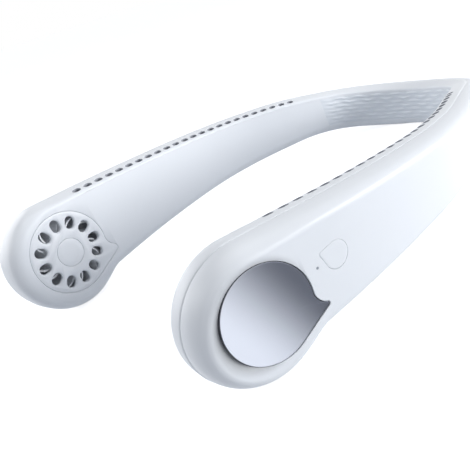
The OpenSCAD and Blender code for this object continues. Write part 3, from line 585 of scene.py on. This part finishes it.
def moulded(name, colour, roughness):
    """Moulded plastic: fine spark-eroded grain, slightly uneven gloss and tone."""
    material, nodes, links, shader = base_material(name, colour, roughness)
    fine_grain(nodes, links, shader, MOULD_GRAIN, 2.0, 0.02)
    broad = noise(nodes, links, BROAD_PATCHES, 3.0)
    range_of_gloss = (roughness - UNEVEN_GLOSS, roughness + UNEVEN_GLOSS)
    gloss = ranged(nodes, links, broad, (0, 1), range_of_gloss)
    links.new(gloss, shader.inputs["Roughness"])
    tone = add(nodes, "ShaderNodeMix", data_type="RGBA")
    tone.inputs["A"].default_value = (*[c * (1 - UNEVEN_TONE) for c in colour], 1)
    tone.inputs["B"].default_value = (*[min(c * (1 + UNEVEN_TONE), 1) for c in colour], 1)
    links.new(broad, tone.inputs["Factor"])
    links.new(tone.outputs["Result"], shader.inputs["Base Color"])
    return material


WHITE = (0.84, 0.87, 0.91)
casing_white = moulded("casing_white", WHITE, 0.38)
# The outer casings get their own copy of the white, whose base colour is darkened round the disc's
# crater, darkest at its floor: painted shade in the recess.
outer_white_painted_shade = moulded("outer_white_painted_shade", WHITE, 0.38)
outer_nodes, outer_links = outer_white_painted_shade.node_tree.nodes, outer_white_painted_shade.node_tree.links
outer_coords = add(outer_nodes, "ShaderNodeTexCoord")
either_side = add(outer_nodes, "ShaderNodeVectorMath", operation="ABSOLUTE")
outer_links.new(outer_coords.outputs["Object"], either_side.inputs[0])
front_back = add(outer_nodes, "ShaderNodeSeparateXYZ")
sideways = add(outer_nodes, "ShaderNodeSeparateXYZ")
outer_links.new(outer_coords.outputs["Object"], front_back.inputs["Vector"])
outer_links.new(either_side.outputs["Vector"], sideways.inputs["Vector"])
folded = add(outer_nodes, "ShaderNodeCombineXYZ")
outer_links.new(sideways.outputs["X"], folded.inputs["X"])
outer_links.new(front_back.outputs["Y"], folded.inputs["Y"])
outer_links.new(front_back.outputs["Z"], folded.inputs["Z"])
# Painted shade: the distance from the crater's middle, on both sides, sets how much the white is
# darkened.
from_crater = add(outer_nodes, "ShaderNodeVectorMath", operation="DISTANCE")
outer_links.new(folded.outputs["Vector"], from_crater.inputs[0])
from_crater.inputs[1].default_value = at(CRATER_S, CRATER_Z, HALF_T)
SHADE_FROM = (CRATER_R - CRATER_REACH - 0.4) * MM
SHADE_TO = (CRATER_R + 1.6) * MM
DARKEST = 0.2
painted_crater_shade = ranged(outer_nodes, outer_links, from_crater.outputs["Value"],
                      (SHADE_FROM, SHADE_TO), (DARKEST, 1), interpolation_type="SMOOTHSTEP")
outer_shader = outer_nodes["Principled BSDF"]
shaded = add(outer_nodes, "ShaderNodeVectorMath", operation="SCALE")
outer_links.new(outer_shader.inputs["Base Color"].links[0].from_socket, shaded.inputs[0])
outer_links.new(painted_crater_shade, shaded.inputs["Scale"])
outer_links.new(shaded.outputs["Vector"], outer_shader.inputs["Base Color"])
dress(right_outer, outer_white_painted_shade, "casing", "right_outer_shell")
dress(left_outer, outer_white_painted_shade, "casing", "left_outer_shell")

# Inner casings
# The inner halves, which face the neck: moulded plastic, rounded along the lower edge and open
# along the top edge, where the outlet strip sits. A round pocket takes the intake grille, a
# shallow recess at the back takes the neck pad, and the left half has the charging socket's slot.
EDGE_R = 5.0
SLOPE_W = 7.2
SLOPE_DROP = 1.8
SLOPE_ANGLE = math.atan(SLOPE_DROP / SLOPE_W)
SLOPE_ROUND = WALL + 1.5 * FIT_GAP
SLOPE_END = SLOPE_DROP + SLOPE_ROUND * math.tan(math.radians(45) - SLOPE_ANGLE / 2)


def down_slope(n):
    """Inset of the outlet slope's plane at distance n."""
    return (SLOPE_W - HALF_T - n) * SLOPE_DROP / SLOPE_W


SLOPE_TABLE = [(0.0, 0.3), (-0.3, 0.08), (-0.6, 0.0), (-2.0, 0.0), (-2.4, 0.03)]
SLOPE_TABLE += [(n, down_slope(n)) for n in (-2.9, -4.8, -6.6)]
for i in range(6):
    turn = mix(SLOPE_ANGLE, math.radians(90), i / 5)
    SLOPE_TABLE.append((SLOPE_ROUND * (1 - math.sin(turn)) - HALF_T,
                        SLOPE_END - SLOPE_ROUND * math.cos(turn)))
ROUND_TABLE = ([(-0.04, 0.3), (-0.3, 0.08), (-0.6, 0.0), (-2.5, 0.0), (EDGE_R - HALF_T, 0.0)]
               + [(EDGE_R * (1 - math.sin(math.radians(10 * i))) - HALF_T,
                   EDGE_R * (1 - math.cos(math.radians(10 * i)))) for i in range(1, 10)])
FACE_INSET = SLOPE_END + 1.6 * WALL
PAD_T = 2.2
slope_lengths = [0.0]
for a, b in zip(SLOPE_TABLE, SLOPE_TABLE[1:]):
    slope_lengths.append(slope_lengths[-1] + math.dist(a, b))
SLOPE_LEN = slope_lengths[-1]


def down_table(d):
    """The point at a length down the top edge's section, past its end along the inner face."""
    if d >= SLOPE_LEN:
        return (-HALF_T, SLOPE_TABLE[-1][1] + d - SLOPE_LEN)
    sides = zip(SLOPE_TABLE, SLOPE_TABLE[1:], slope_lengths, slope_lengths[1:])
    for a, b, d0, d1 in sides:
        if d <= d1:
            f = (d - d0) / (d1 - d0)
            return (mix(a[0], b[0], f), mix(a[1], b[1], f))
    return SLOPE_TABLE[-1]


OPENING_LAG = 0.6
OPENING_DROP = 0.05
OPENING_RUSH = 9
COLUMN_STEP = 0.06
FRONT_BLEND_S = -12.0
FRONT_BLEND_RUN = 16.0


def strip_share(s):
    """How far the outlet strip's slope has opened at length s, from 0 to 1."""
    return min(max((s - STRIP_START) / STRIP_RUN, 0.0), 1.0)


def inner_place(i, j):
    """The place of a point of the inner casing's grid."""
    k, side = station(i)
    row = outline_row(k, side)
    s_here = -1.0 if k < FRONT_STEPS else stops[k - FRONT_STEPS]
    face_n = -HALF_T + (PAD_T if s_here > PAD_START - PAD_RAMP / 2 else 0.0)
    if j > len(ROUND_TABLE):
        s, z = middle_row(k)
        return at(s, z, face_n)
    if j == len(ROUND_TABLE):
        n, inset = face_n, FACE_INSET
    elif side < 0:
        n, inset = ROUND_TABLE[j]
    else:
        share = strip_share(row[0] - OPENING_LAG)
        if share > 0:
            down = mix(slope_lengths[j], SLOPE_LEN + COLUMN_STEP * j, share)
            n, inset = down_table(down + OPENING_DROP * min(share * OPENING_RUSH, 1))
        else:
            soft = ease((row[0] - FRONT_BLEND_S) / FRONT_BLEND_RUN)
            n, inset = (mix(ROUND_TABLE[j][c], SLOPE_TABLE[j][c], soft) for c in (0, 1))
    return at(row[0] + row[2] * inset, row[1] + row[3] * inset, n)


right_inner = sheet_mesh("right_inner_casing", 2 * LAST, len(ROUND_TABLE) + 1, inner_place,
                         (-1, -1, 0), WALL)
GRILLE_R = 20.4
GRILLE_T = 1.4
GRILLE_TIP = 27.0
GRILLE_ANGLE = -27.0
GRILLE_TIP_R = 2.0
MOUTH_R = GRILLE_R - 2.6
SEAT_LOW = -9.0
SEAT_TOP = -7.08


def grille_outline(grow):
    """The grille's drop, with its tip towards the arm."""
    return drop_points(GRILLE_R, GRILLE_TIP, GRILLE_ANGLE, GRILLE_TIP_R, HOLLOW_R, grow)


def big_circle(r):
    """A round outline of many sides."""
    return circle(r, 120)


ring = stacked("ring", grown(big_circle, (GRILLE_R + WALL, SEAT_LOW), (GRILLE_R + WALL, SEAT_TOP)))
boolean(right_inner, turned(ring, on_head), "UNION")
seat = stacked("seat", grown(
    grille_outline, (FIT_GAP, GRILLE_T - HALF_T), (FIT_GAP, 0.15 - HALF_T),
    (FIT_GAP + 0.06, 0.05 - HALF_T), (FIT_GAP + 0.25, -HALF_T - 0.05),
    (FIT_GAP + 0.3, -HALF_T - 0.6)))
boolean(right_inner, turned(seat, on_head))
mouth = stacked("mouth", grown(big_circle, (MOUTH_R, -HALF_T - 1), (MOUTH_R, -6.0)))
boolean(right_inner, turned(mouth, on_head))
left_inner = mirrored(right_inner, "left_inner_casing")
SOCKET_S = 206.3
SOCKET_N = -WALL / 2 - 1.6
SOCKET_LEN = 9.2
SOCKET_W = 3.5


def oval(length, width, grow=0.0, count=12):
    """A slot outline with round ends."""
    r = width / 2 + grow
    run = (length - width) / 2
    points = []
    for side in (1, -1):
        for i in range(count + 1):
            a = math.radians(-90 + 180 * i / count)
            points.append((side * (run + r * math.cos(a)), side * r * math.sin(a)))
    return points


def upright(tilt=0.0):
    """Turns a shape that stands on the band's face so that it stands on its edge."""
    return Matrix.Rotation(-math.radians(90) - tilt, 4, "X")


socket_oval = oval(SOCKET_LEN, SOCKET_W)
slot = stacked("socket_slot", [(socket_oval, -3), (socket_oval, 9)])
turned(slot, on_band(SOCKET_S, low_edge(SOCKET_S) + WALL / 4)
       @ Matrix.Translation((0, 0, SOCKET_N)) @ upright())
boolean(left_inner, mirrored(slot, "left_slot"))
bpy.data.objects.remove(slot)
dress(right_inner, casing_white, "casing", "right_inner_shell")
dress(left_inner, casing_white, "casing", "left_inner_shell")

# Outlet strips
# A narrow strip of the same white plastic closes the slope along the top of each arm and holds
# 24 oval outlets. It is a swept sheet with a wall, cut by one row of ovals with eased mouths; the
# walls inside the outlets are a darker grey, as painted shade.
strip_stops = [s for s in stops if s >= STRIP_START + OPENING_LAG]
strip_cols = len(SLOPE_TABLE) - 1
LEAST_SHARE = 0.08
START_SUNK = 0.07
EDGE_SHORT = 0.05
JOINT_CLEAR = 0.04


def strip_place(i, j):
    """The place of a point of the strip's grid, a hair short of the casings on either side."""
    k = LAST - len(strip_stops) + 1 + i
    row = outline_row(k, 1)
    share = max(strip_share(row[0]), LEAST_SHARE)
    n, inset = down_table(share * slope_lengths[j] - (EDGE_SHORT if j == strip_cols else 0.0))
    inset += START_SUNK * (1 - strip_share(row[0] - OPENING_LAG))
    if j == 0:
        n -= JOINT_CLEAR
    return at(row[0] + row[2] * inset, row[1] + row[3] * inset, n)


right_strip = sheet_mesh("right_outlet_strip_top", len(strip_stops) - 1, strip_cols, strip_place,
                         (0, 0, 1), WALL)
OUTLET_COUNT = 24
OUTLET_PITCH = 7.0
OUTLET_START = 21.6
OUTLET_LEN = 4.6
OUTLET_W = 3.3
OUTLET_N = 3.1 - HALF_T


def outlet_outline(grow):
    """One outlet's oval."""
    return oval(OUTLET_LEN, OUTLET_W, grow)


def paint_shade_below(tool, level):
    """Marks a cutter's walls below a level, so that the walls it cuts take the darker painted
    shade.
    """
    tool.data.materials.append(casing_white)
    tool.data.materials.append(painted_outlet_shade)
    for face in tool.data.polygons:
        if face.center.z < level:
            face.material_index = 1


# Painted shade: a darker grey for the walls inside the outlets.
painted_outlet_shade = moulded("painted_outlet_shade", (0.42, 0.44, 0.49), 0.6)
mouths = bmesh.new()
for i in range(OUTLET_COUNT):
    s = OUTLET_START + OUTLET_PITCH * i
    tool = stacked("outlet", grown(outlet_outline, (0, -3.4), (0, -0.22), (0.08, -0.06),
                                   (0.3, 0.12), (0.4, 0.7)))
    paint_shade_below(tool, -0.1)
    turned(tool, on_band(s, top_edge(s) - down_slope(OUTLET_N))
           @ Matrix.Translation((0, 0, OUTLET_N)) @ upright(SLOPE_ANGLE))
    mouths.from_mesh(tool.data)
    bpy.data.objects.remove(tool)
right_strip.data.materials.append(casing_white)
right_strip.data.materials.append(painted_outlet_shade)
outlet_cutter = finished("mouths", mouths)
outlet_cutter.data.materials.append(casing_white)
outlet_cutter.data.materials.append(painted_outlet_shade)
boolean(right_strip, outlet_cutter)
left_strip = mirrored(right_strip, "left_outlet_strip_top")
strip_white = moulded("strip_white", WHITE, 0.34)
dress(right_strip, strip_white, "outlet_strip", "right_outlet_strip", painted_shade=painted_outlet_shade)
dress(left_strip, strip_white, "outlet_strip", "left_outlet_strip", painted_shade=painted_outlet_shade)

# Metal discs
# Drop-shaped plates of satin metal, bonded into the pockets on the outside of the heads. Each
# is drawn in rings from its eased edge to a very slight crown. Its base colour carries a painted
# reflection, pale at the lower front and darker towards the tip and the top.


def scaled(points, f):
    """An outline drawn in towards the middle."""
    return [(x * f, y * f) for x, y in points]


CROWN = 0.2
DISC_FACE = HALF_T - 0.32
DISC_EDGE = 0.16
DISC_GAP = 0.1
edge_turns = [math.radians(a) for a in (30, 60, 90)]
disc_rings = grown(disc_outline, (-0.15, DISC_LOW), (-DISC_GAP, DISC_LOW + 0.1),
                   (-DISC_GAP, DISC_FACE - DISC_EDGE),
                   *[(-DISC_GAP - DISC_EDGE * (1 - math.cos(a)),
                      DISC_FACE - DISC_EDGE * (1 - math.sin(a))) for a in edge_turns])
disc_rings += [(scaled(disc_outline(-DISC_GAP - DISC_EDGE), f), DISC_FACE + CROWN * (1 - f * f))
               for f in (0.97, 0.9, 0.8, 0.7, 0.6, 0.5, 0.4, 0.3, 0.2, 0.1)]
right_disc = turned(stacked("right_metal_disc", disc_rings, DISC_FACE + CROWN), on_head)
left_disc = mirrored(right_disc, "left_metal_disc")


def satin_metal(name, colour, roughness):
    """Satin metal with a fine even grain."""
    material, nodes, links, shader = base_material(name, colour, roughness, 1.0)
    fine_grain(nodes, links, shader, 1400.0, 2.0, 0.05)
    return material


disc_metal_painted_reflection = satin_metal("disc_metal_painted_reflection", (0.62, 0.65, 0.70), 0.34)
# Painted reflection: the base colour runs from pale at the lower front to dark towards the tip and
# the top.
disc_nodes, disc_links = disc_metal_painted_reflection.node_tree.nodes, disc_metal_painted_reflection.node_tree.links
disc_place = add(disc_nodes, "ShaderNodeTexCoord")
disc_split = add(disc_nodes, "ShaderNodeSeparateXYZ")
disc_links.new(disc_place.outputs["Object"], disc_split.inputs["Vector"])
disc_from, disc_to = at(FAN_BACK - DISC_R, 0, 0).y, at(FAN_BACK + DISC_TIP, 0, 0).y
back_share = ranged(disc_nodes, disc_links, disc_split.outputs["Y"], (disc_from, disc_to), (0, 1))
high_share = ranged(disc_nodes, disc_links, disc_split.outputs["Z"],
                    ((FAN_Z - DISC_R) * MM, (FAN_Z + DISC_R) * MM), (0, 0.38))
both = add(disc_nodes, "ShaderNodeMath", operation="ADD")
disc_links.new(back_share, both.inputs[0])
disc_links.new(high_share, both.inputs[1])
painted_reflection = add(disc_nodes, "ShaderNodeValToRGB")
painted_reflection.color_ramp.interpolation = "EASE"
pale, dark = painted_reflection.color_ramp.elements
pale.position, pale.color = 0.22, (0.60, 0.625, 0.685, 1)
dark.position, dark.color = 0.97, (0.095, 0.102, 0.124, 1)
disc_links.new(both.outputs["Value"], painted_reflection.inputs["Fac"])
disc_links.new(painted_reflection.outputs["Color"], disc_nodes["Principled BSDF"].inputs["Base Color"])
dress(right_disc, disc_metal_painted_reflection, "disc", "right_head_disc")
dress(left_disc, disc_metal_painted_reflection, "disc", "left_head_disc")

# Intake grilles and hub caps
# Round covers with a blunt tip and twelve oval intake holes with wide eased mouths, and a
# small round cap pressed into the middle. Both are white plastic, and the cover is bonded into
# its pocket in the inner casing.
right_grille = stacked("right_intake_cover", grown(
    grille_outline, (-0.02, GRILLE_T - HALF_T), (0, GRILLE_T - HALF_T - 0.1), (0, 0.3 - HALF_T),
    (-0.08, 0.08 - HALF_T), (-0.28, -HALF_T)))
HUB_R = 7.0
INTAKE_COUNT = 12
INTAKE_RING_R = 14.8
INTAKE_LEN = 6.2
INTAKE_W = 4.6


def intake_outline(grow):
    """One intake hole's oval, long towards the middle of the cover."""
    return oval(INTAKE_LEN, INTAKE_W, grow)


def hub_circle(grow):
    """The hub cap's outline."""
    return circle(HUB_R + grow, 96)


holes = bmesh.new()
for i in range(INTAKE_COUNT):
    tool = stacked("intake", grown(
        intake_outline, (0, 2.0 - HALF_T), (0, 0.8 - HALF_T), (0.12, 0.5 - HALF_T),
        (0.4, 0.2 - HALF_T), (0.85, -HALF_T - 0.02), (1.3, -HALF_T - 0.3)))
    turned(tool, Matrix.Rotation(2 * math.pi * i / INTAKE_COUNT, 4, "Z")
           @ Matrix.Translation((INTAKE_RING_R, 0, 0)))
    holes.from_mesh(tool.data)
    bpy.data.objects.remove(tool)
boolean(right_grille, finished("holes", holes))
dish = stacked("dish", grown(hub_circle, (0.1, 0.8 - HALF_T), (0.1, 0.2 - HALF_T),
                             (0.2, 0.05 - HALF_T), (0.5, -HALF_T - 0.1)))
boolean(right_grille, dish)
turned(right_grille, on_head)
left_grille = mirrored(right_grille, "left_intake_cover")
grille_white = moulded("grille_white", WHITE, 0.4)
dress(right_grille, grille_white, "grille", "right_intake_grille")
dress(left_grille, grille_white, "grille", "left_intake_grille")
cap_rings = grown(hub_circle, (-0.02, 0.8 - HALF_T), (0, 0.7 - HALF_T), (0, 0.3 - HALF_T),
                  (-0.1, 0.1 - HALF_T), (-0.35, -HALF_T), (-0.4 * HUB_R, -HALF_T))
right_cap = turned(stacked("right_hub_button", cap_rings, -HALF_T), on_head)
left_cap = mirrored(right_cap, "left_hub_button")
dress(right_cap, grille_white, "grille", "right_hub_cap")
dress(left_cap, grille_white, "grille", "left_hub_cap")

# Neck pad
# A soft pad of pale silicone, bonded into the recess at the back of the inner casings. It is one
# sheet along the band with rows of small waves pressed into it, which shift by half a wave from
# row to row, and a scalloped upper edge.
PAD_ROWS = 7
PAD_WAVES = 5
WAVE_H = 0.8
WAVE_SWING = 0.4
SCALLOP = 0.8
SCALLOP_LIFT = 0.9
PAD_LAP = 0.5
PAD_PROUD = 0.03
PAD_SHEET = 1.5
PAD_MARGIN = 0.1
EDGE_FADE = 8
TOP_FADE = 12
TOP_LEAST = 0.4


def wave(a, v):
    """Height of the relief at share a of the way to the pad's end and share v of its height."""
    row = math.floor(v * PAD_ROWS)
    ridge = 0.5 - 0.5 * math.cos(2 * math.pi * (v * PAD_ROWS - row))
    swing = math.cos(2 * math.pi * PAD_WAVES * a + math.pi * row)
    return WAVE_H * ridge * (1 - WAVE_SWING + WAVE_SWING * swing)


PAD_LONG_STEPS = 320
PAD_HIGH_STEPS = 84


def pad_place(i, j):
    """The place of a point of the pad's grid, from one end of the pad to the other."""
    t = 2 * i / PAD_LONG_STEPS - 1
    v = j / PAD_HIGH_STEPS
    reach = abs(t)
    s = mix(BAND_LEN, PAD_START - PAD_RAMP - PAD_LAP, reach)
    slant = PAD_SLANT * max(0, 1 - abs(s - PAD_START) / SLANT_REACH)
    low, high = edge_row(s + slant, -1), edge_row(s - slant, 1)
    bottom = EDGE_R + PAD_MARGIN
    low = (low[0] + low[2] * bottom, low[1] + low[3] * bottom)
    top = SLOPE_END + SCALLOP_LIFT - SCALLOP * abs(math.cos(math.pi * PAD_WAVES * reach))
    high = (high[0] + high[2] * top, high[1] + high[3] * top)
    edge = min(1, EDGE_FADE * v, EDGE_FADE * (1 - reach), TOP_LEAST + TOP_FADE * (1 - v))
    n = -HALF_T - PAD_PROUD - wave(reach, v) * edge
    p = at(min(mix(low[0], high[0], v), BAND_LEN), mix(low[1], high[1], v), n)
    return Vector((p.x if t > 0 else -p.x, p.y, p.z))


pad = sheet_mesh("neck_pad_waves", PAD_LONG_STEPS, PAD_HIGH_STEPS, pad_place, (0, -1, 0),
                 PAD_SHEET)
PAD_COLOUR = (0.80, 0.84, 0.89)
silicone, pad_nodes, pad_links, pad_shader = base_material("pad_silicone", PAD_COLOUR, 0.42)
fine_grain(pad_nodes, pad_links, pad_shader, 1100.0, 3.0, 0.02)
dress(pad, silicone, "pad", "neck_pad")

# Power button
# A drop-shaped push button of white plastic, flush with the outer casing of the right arm. It
# rests on the plunger of the push switch, has an eased rim and is dished a tenth of a millimetre.
BUTTON_LOW = 7.2
BUTTON_RIM = 0.2
BUTTON_DISH = 0.1
BUTTON_SKIRT = 0.06
button_rings = grown(button_outline, (BUTTON_SKIRT, BUTTON_LOW), (BUTTON_SKIRT, HALF_T - 0.12),
                     (0, HALF_T - 0.04), (-BUTTON_RIM, HALF_T))
button_rings += [(scaled(button_outline(-BUTTON_RIM), f), HALF_T - BUTTON_DISH * (1 - f))
                 for f in (0.8, 0.6, 0.4, 0.2)]
button = turned(stacked("power_button_cap", button_rings, HALF_T - BUTTON_DISH),
                on_band(BUTTON_S, BUTTON_Z))
button_white = moulded("button_white", WHITE, 0.36)
dress(button, button_white, "button", "power_button", body="button")

# Light behind the button
# A small light pipe of clear plastic, pressed into its hole in the outer casing, with the
# light itself on the board behind it. It is unlit, so it shows as a small grey dot.
lens = base_material("clear_lens", (0.30, 0.33, 0.38), 0.2)[0]

# Motors, impellers, boards and battery
# What the casings hold: moulded wheels and carriers, motors of steel and copper, boards, cells
# in foil, the charging socket and the leads. These pieces keep the shapes that they are packed
# with and get their finishes here.
finishes = {
    "impeller": moulded("impeller_grey", (0.9, 0.92, 0.95), 0.45),
    "motor_steel": satin_metal("motor_steel", (0.55, 0.55, 0.56), 0.35),
    "magnet": satin_metal("magnet_dark", (0.16, 0.16, 0.17), 0.5),
    "shaft_steel": satin_metal("shaft_steel", (0.7, 0.7, 0.72), 0.2),
    "copper": satin_metal("coil_copper", (0.72, 0.33, 0.16), 0.35),
    "inner_plastic": moulded("inner_plastic", (0.9, 0.92, 0.95), 0.5),
    "screw_steel": satin_metal("screw_steel", (0.5, 0.5, 0.52), 0.35),
    "switch": moulded("switch_black", (0.04, 0.04, 0.045), 0.45),
    "board": moulded("board_green", (0.03, 0.16, 0.07), 0.4),
    "light": lens,
    "cell_foil": satin_metal("cell_foil", (0.6, 0.62, 0.65), 0.4),
    "socket_steel": satin_metal("socket_steel", (0.62, 0.62, 0.64), 0.3),
    "lead": moulded("lead_black", (0.03, 0.03, 0.032), 0.5),
}
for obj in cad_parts.values():
    old = obj.data.materials[0].name if obj.data.materials else ""
    if old.split(".")[0] in finishes:
        obj.data.materials[0] = finishes[old.split(".")[0]]

# Studio
# A plain white floor that keeps the shadow, soft lamps on the right, on the left, above and in
# front, and the camera of the photograph, which is an off-centre crop of its picture.
FLOOR_GLOW = 0.79
WORLD_LIGHT = 0.25
floor_bm = bmesh.new()
bmesh.ops.create_grid(floor_bm, x_segments=1, y_segments=1, size=6.0)
bmesh.ops.translate(floor_bm, vec=(0, 0, -0.2 * MM), verts=floor_bm.verts)
floor = finished("floor", floor_bm)


def seen_directly(nodes, links):
    """1 where the camera, a reflection or clear plastic looks at the surface, 0 for its light."""
    path = add(nodes, "ShaderNodeLightPath")
    mirror = add(nodes, "ShaderNodeMath", operation="MAXIMUM")
    seen = add(nodes, "ShaderNodeMath", operation="MAXIMUM")
    links.new(path.outputs["Is Glossy Ray"], mirror.inputs[0])
    links.new(path.outputs["Is Transmission Ray"], mirror.inputs[1])
    links.new(path.outputs["Is Camera Ray"], seen.inputs[0])
    links.new(mirror.outputs["Value"], seen.inputs[1])
    return seen.outputs["Value"]


FLOOR_COLOUR = (0.58, 0.605, 0.65)
floor_white, floor_nodes, floor_links, floor_shader = base_material(
    "floor_white", FLOOR_COLOUR, 0.9)
glow = add(floor_nodes, "ShaderNodeMath", operation="MULTIPLY")
glow.inputs[1].default_value = FLOOR_GLOW
floor_links.new(seen_directly(floor_nodes, floor_links), glow.inputs[0])
floor_shader.inputs["Emission Color"].default_value = (1, 1, 1, 1)
floor_links.new(glow.outputs["Value"], floor_shader.inputs["Emission Strength"])
floor.data.materials.append(floor_white)

world = bpy.data.worlds.new("studio")
bpy.context.scene.world = world
world.use_nodes = True
world_nodes, world_links = world.node_tree.nodes, world.node_tree.links
sky = world_nodes["Background"]
sky.inputs["Color"].default_value = (0.86, 0.91, 1.0, 1)
sky.inputs["Strength"].default_value = WORLD_LIGHT
white_sky = add(world_nodes, "ShaderNodeBackground", Color=(1, 1, 1, 1), Strength=1.0)
either = add(world_nodes, "ShaderNodeMixShader")
world_links.new(seen_directly(world_nodes, world_links), either.inputs["Fac"])
world_links.new(sky.outputs["Background"], either.inputs[1])
world_links.new(white_sky.outputs["Background"], either.inputs[2])
world_links.new(either.outputs["Shader"], world_nodes["World Output"].inputs["Surface"])


def softbox(name, place, target, width, height, power):
    """A soft rectangular lamp that points at a target."""
    data = bpy.data.lights.new(name, "AREA")
    data.shape = "RECTANGLE"
    data.size, data.size_y, data.energy = width, height, power
    lamp = bpy.data.objects.new(name, data)
    bpy.context.scene.collection.objects.link(lamp)
    lamp.location = place
    lamp.rotation_euler = (Vector(target) - Vector(place)).to_track_quat("-Z", "Y").to_euler()
    return lamp


centre = (0.0, 0.0, 0.03)
softbox("key_softbox", (0.84, 0.62, 0.15), centre, 0.9, 0.26, 10.0)
softbox("left_softbox", (-0.85, -0.32, 0.3), centre, 0.8, 0.5, 2.9)
softbox("top_softbox", (0.0, 0.15, 1.1), centre, 0.9, 0.9, 3.9)
softbox("front_softbox", (-0.3, -0.85, 0.75), centre, 0.7, 0.5, 2.7)

camera_data = bpy.data.cameras.new("photo_camera")
camera_data.sensor_width = 36
camera_data.lens = 40.5722
camera_data.shift_x = -0.22712
camera_data.shift_y = 0.07234
camera_data.clip_start = 10 * MM
camera = bpy.data.objects.new("photo_camera", camera_data)
bpy.context.scene.collection.objects.link(camera)
right, down, forward = ((0.78253, 0.57322, -0.24305), (0.15028, -0.55271, -0.81971),
                        (-0.60421, 0.60492, -0.51865))
camera.matrix_world = Matrix(((right[0], -down[0], -forward[0], 0.203576),
                              (right[1], -down[1], -forward[1], -0.198685),
                              (right[2], -down[2], -forward[2], 0.126124), (0, 0, 0, 1)))
bpy.context.scene.camera = camera
bpy.context.scene.view_settings.view_transform = "Standard"
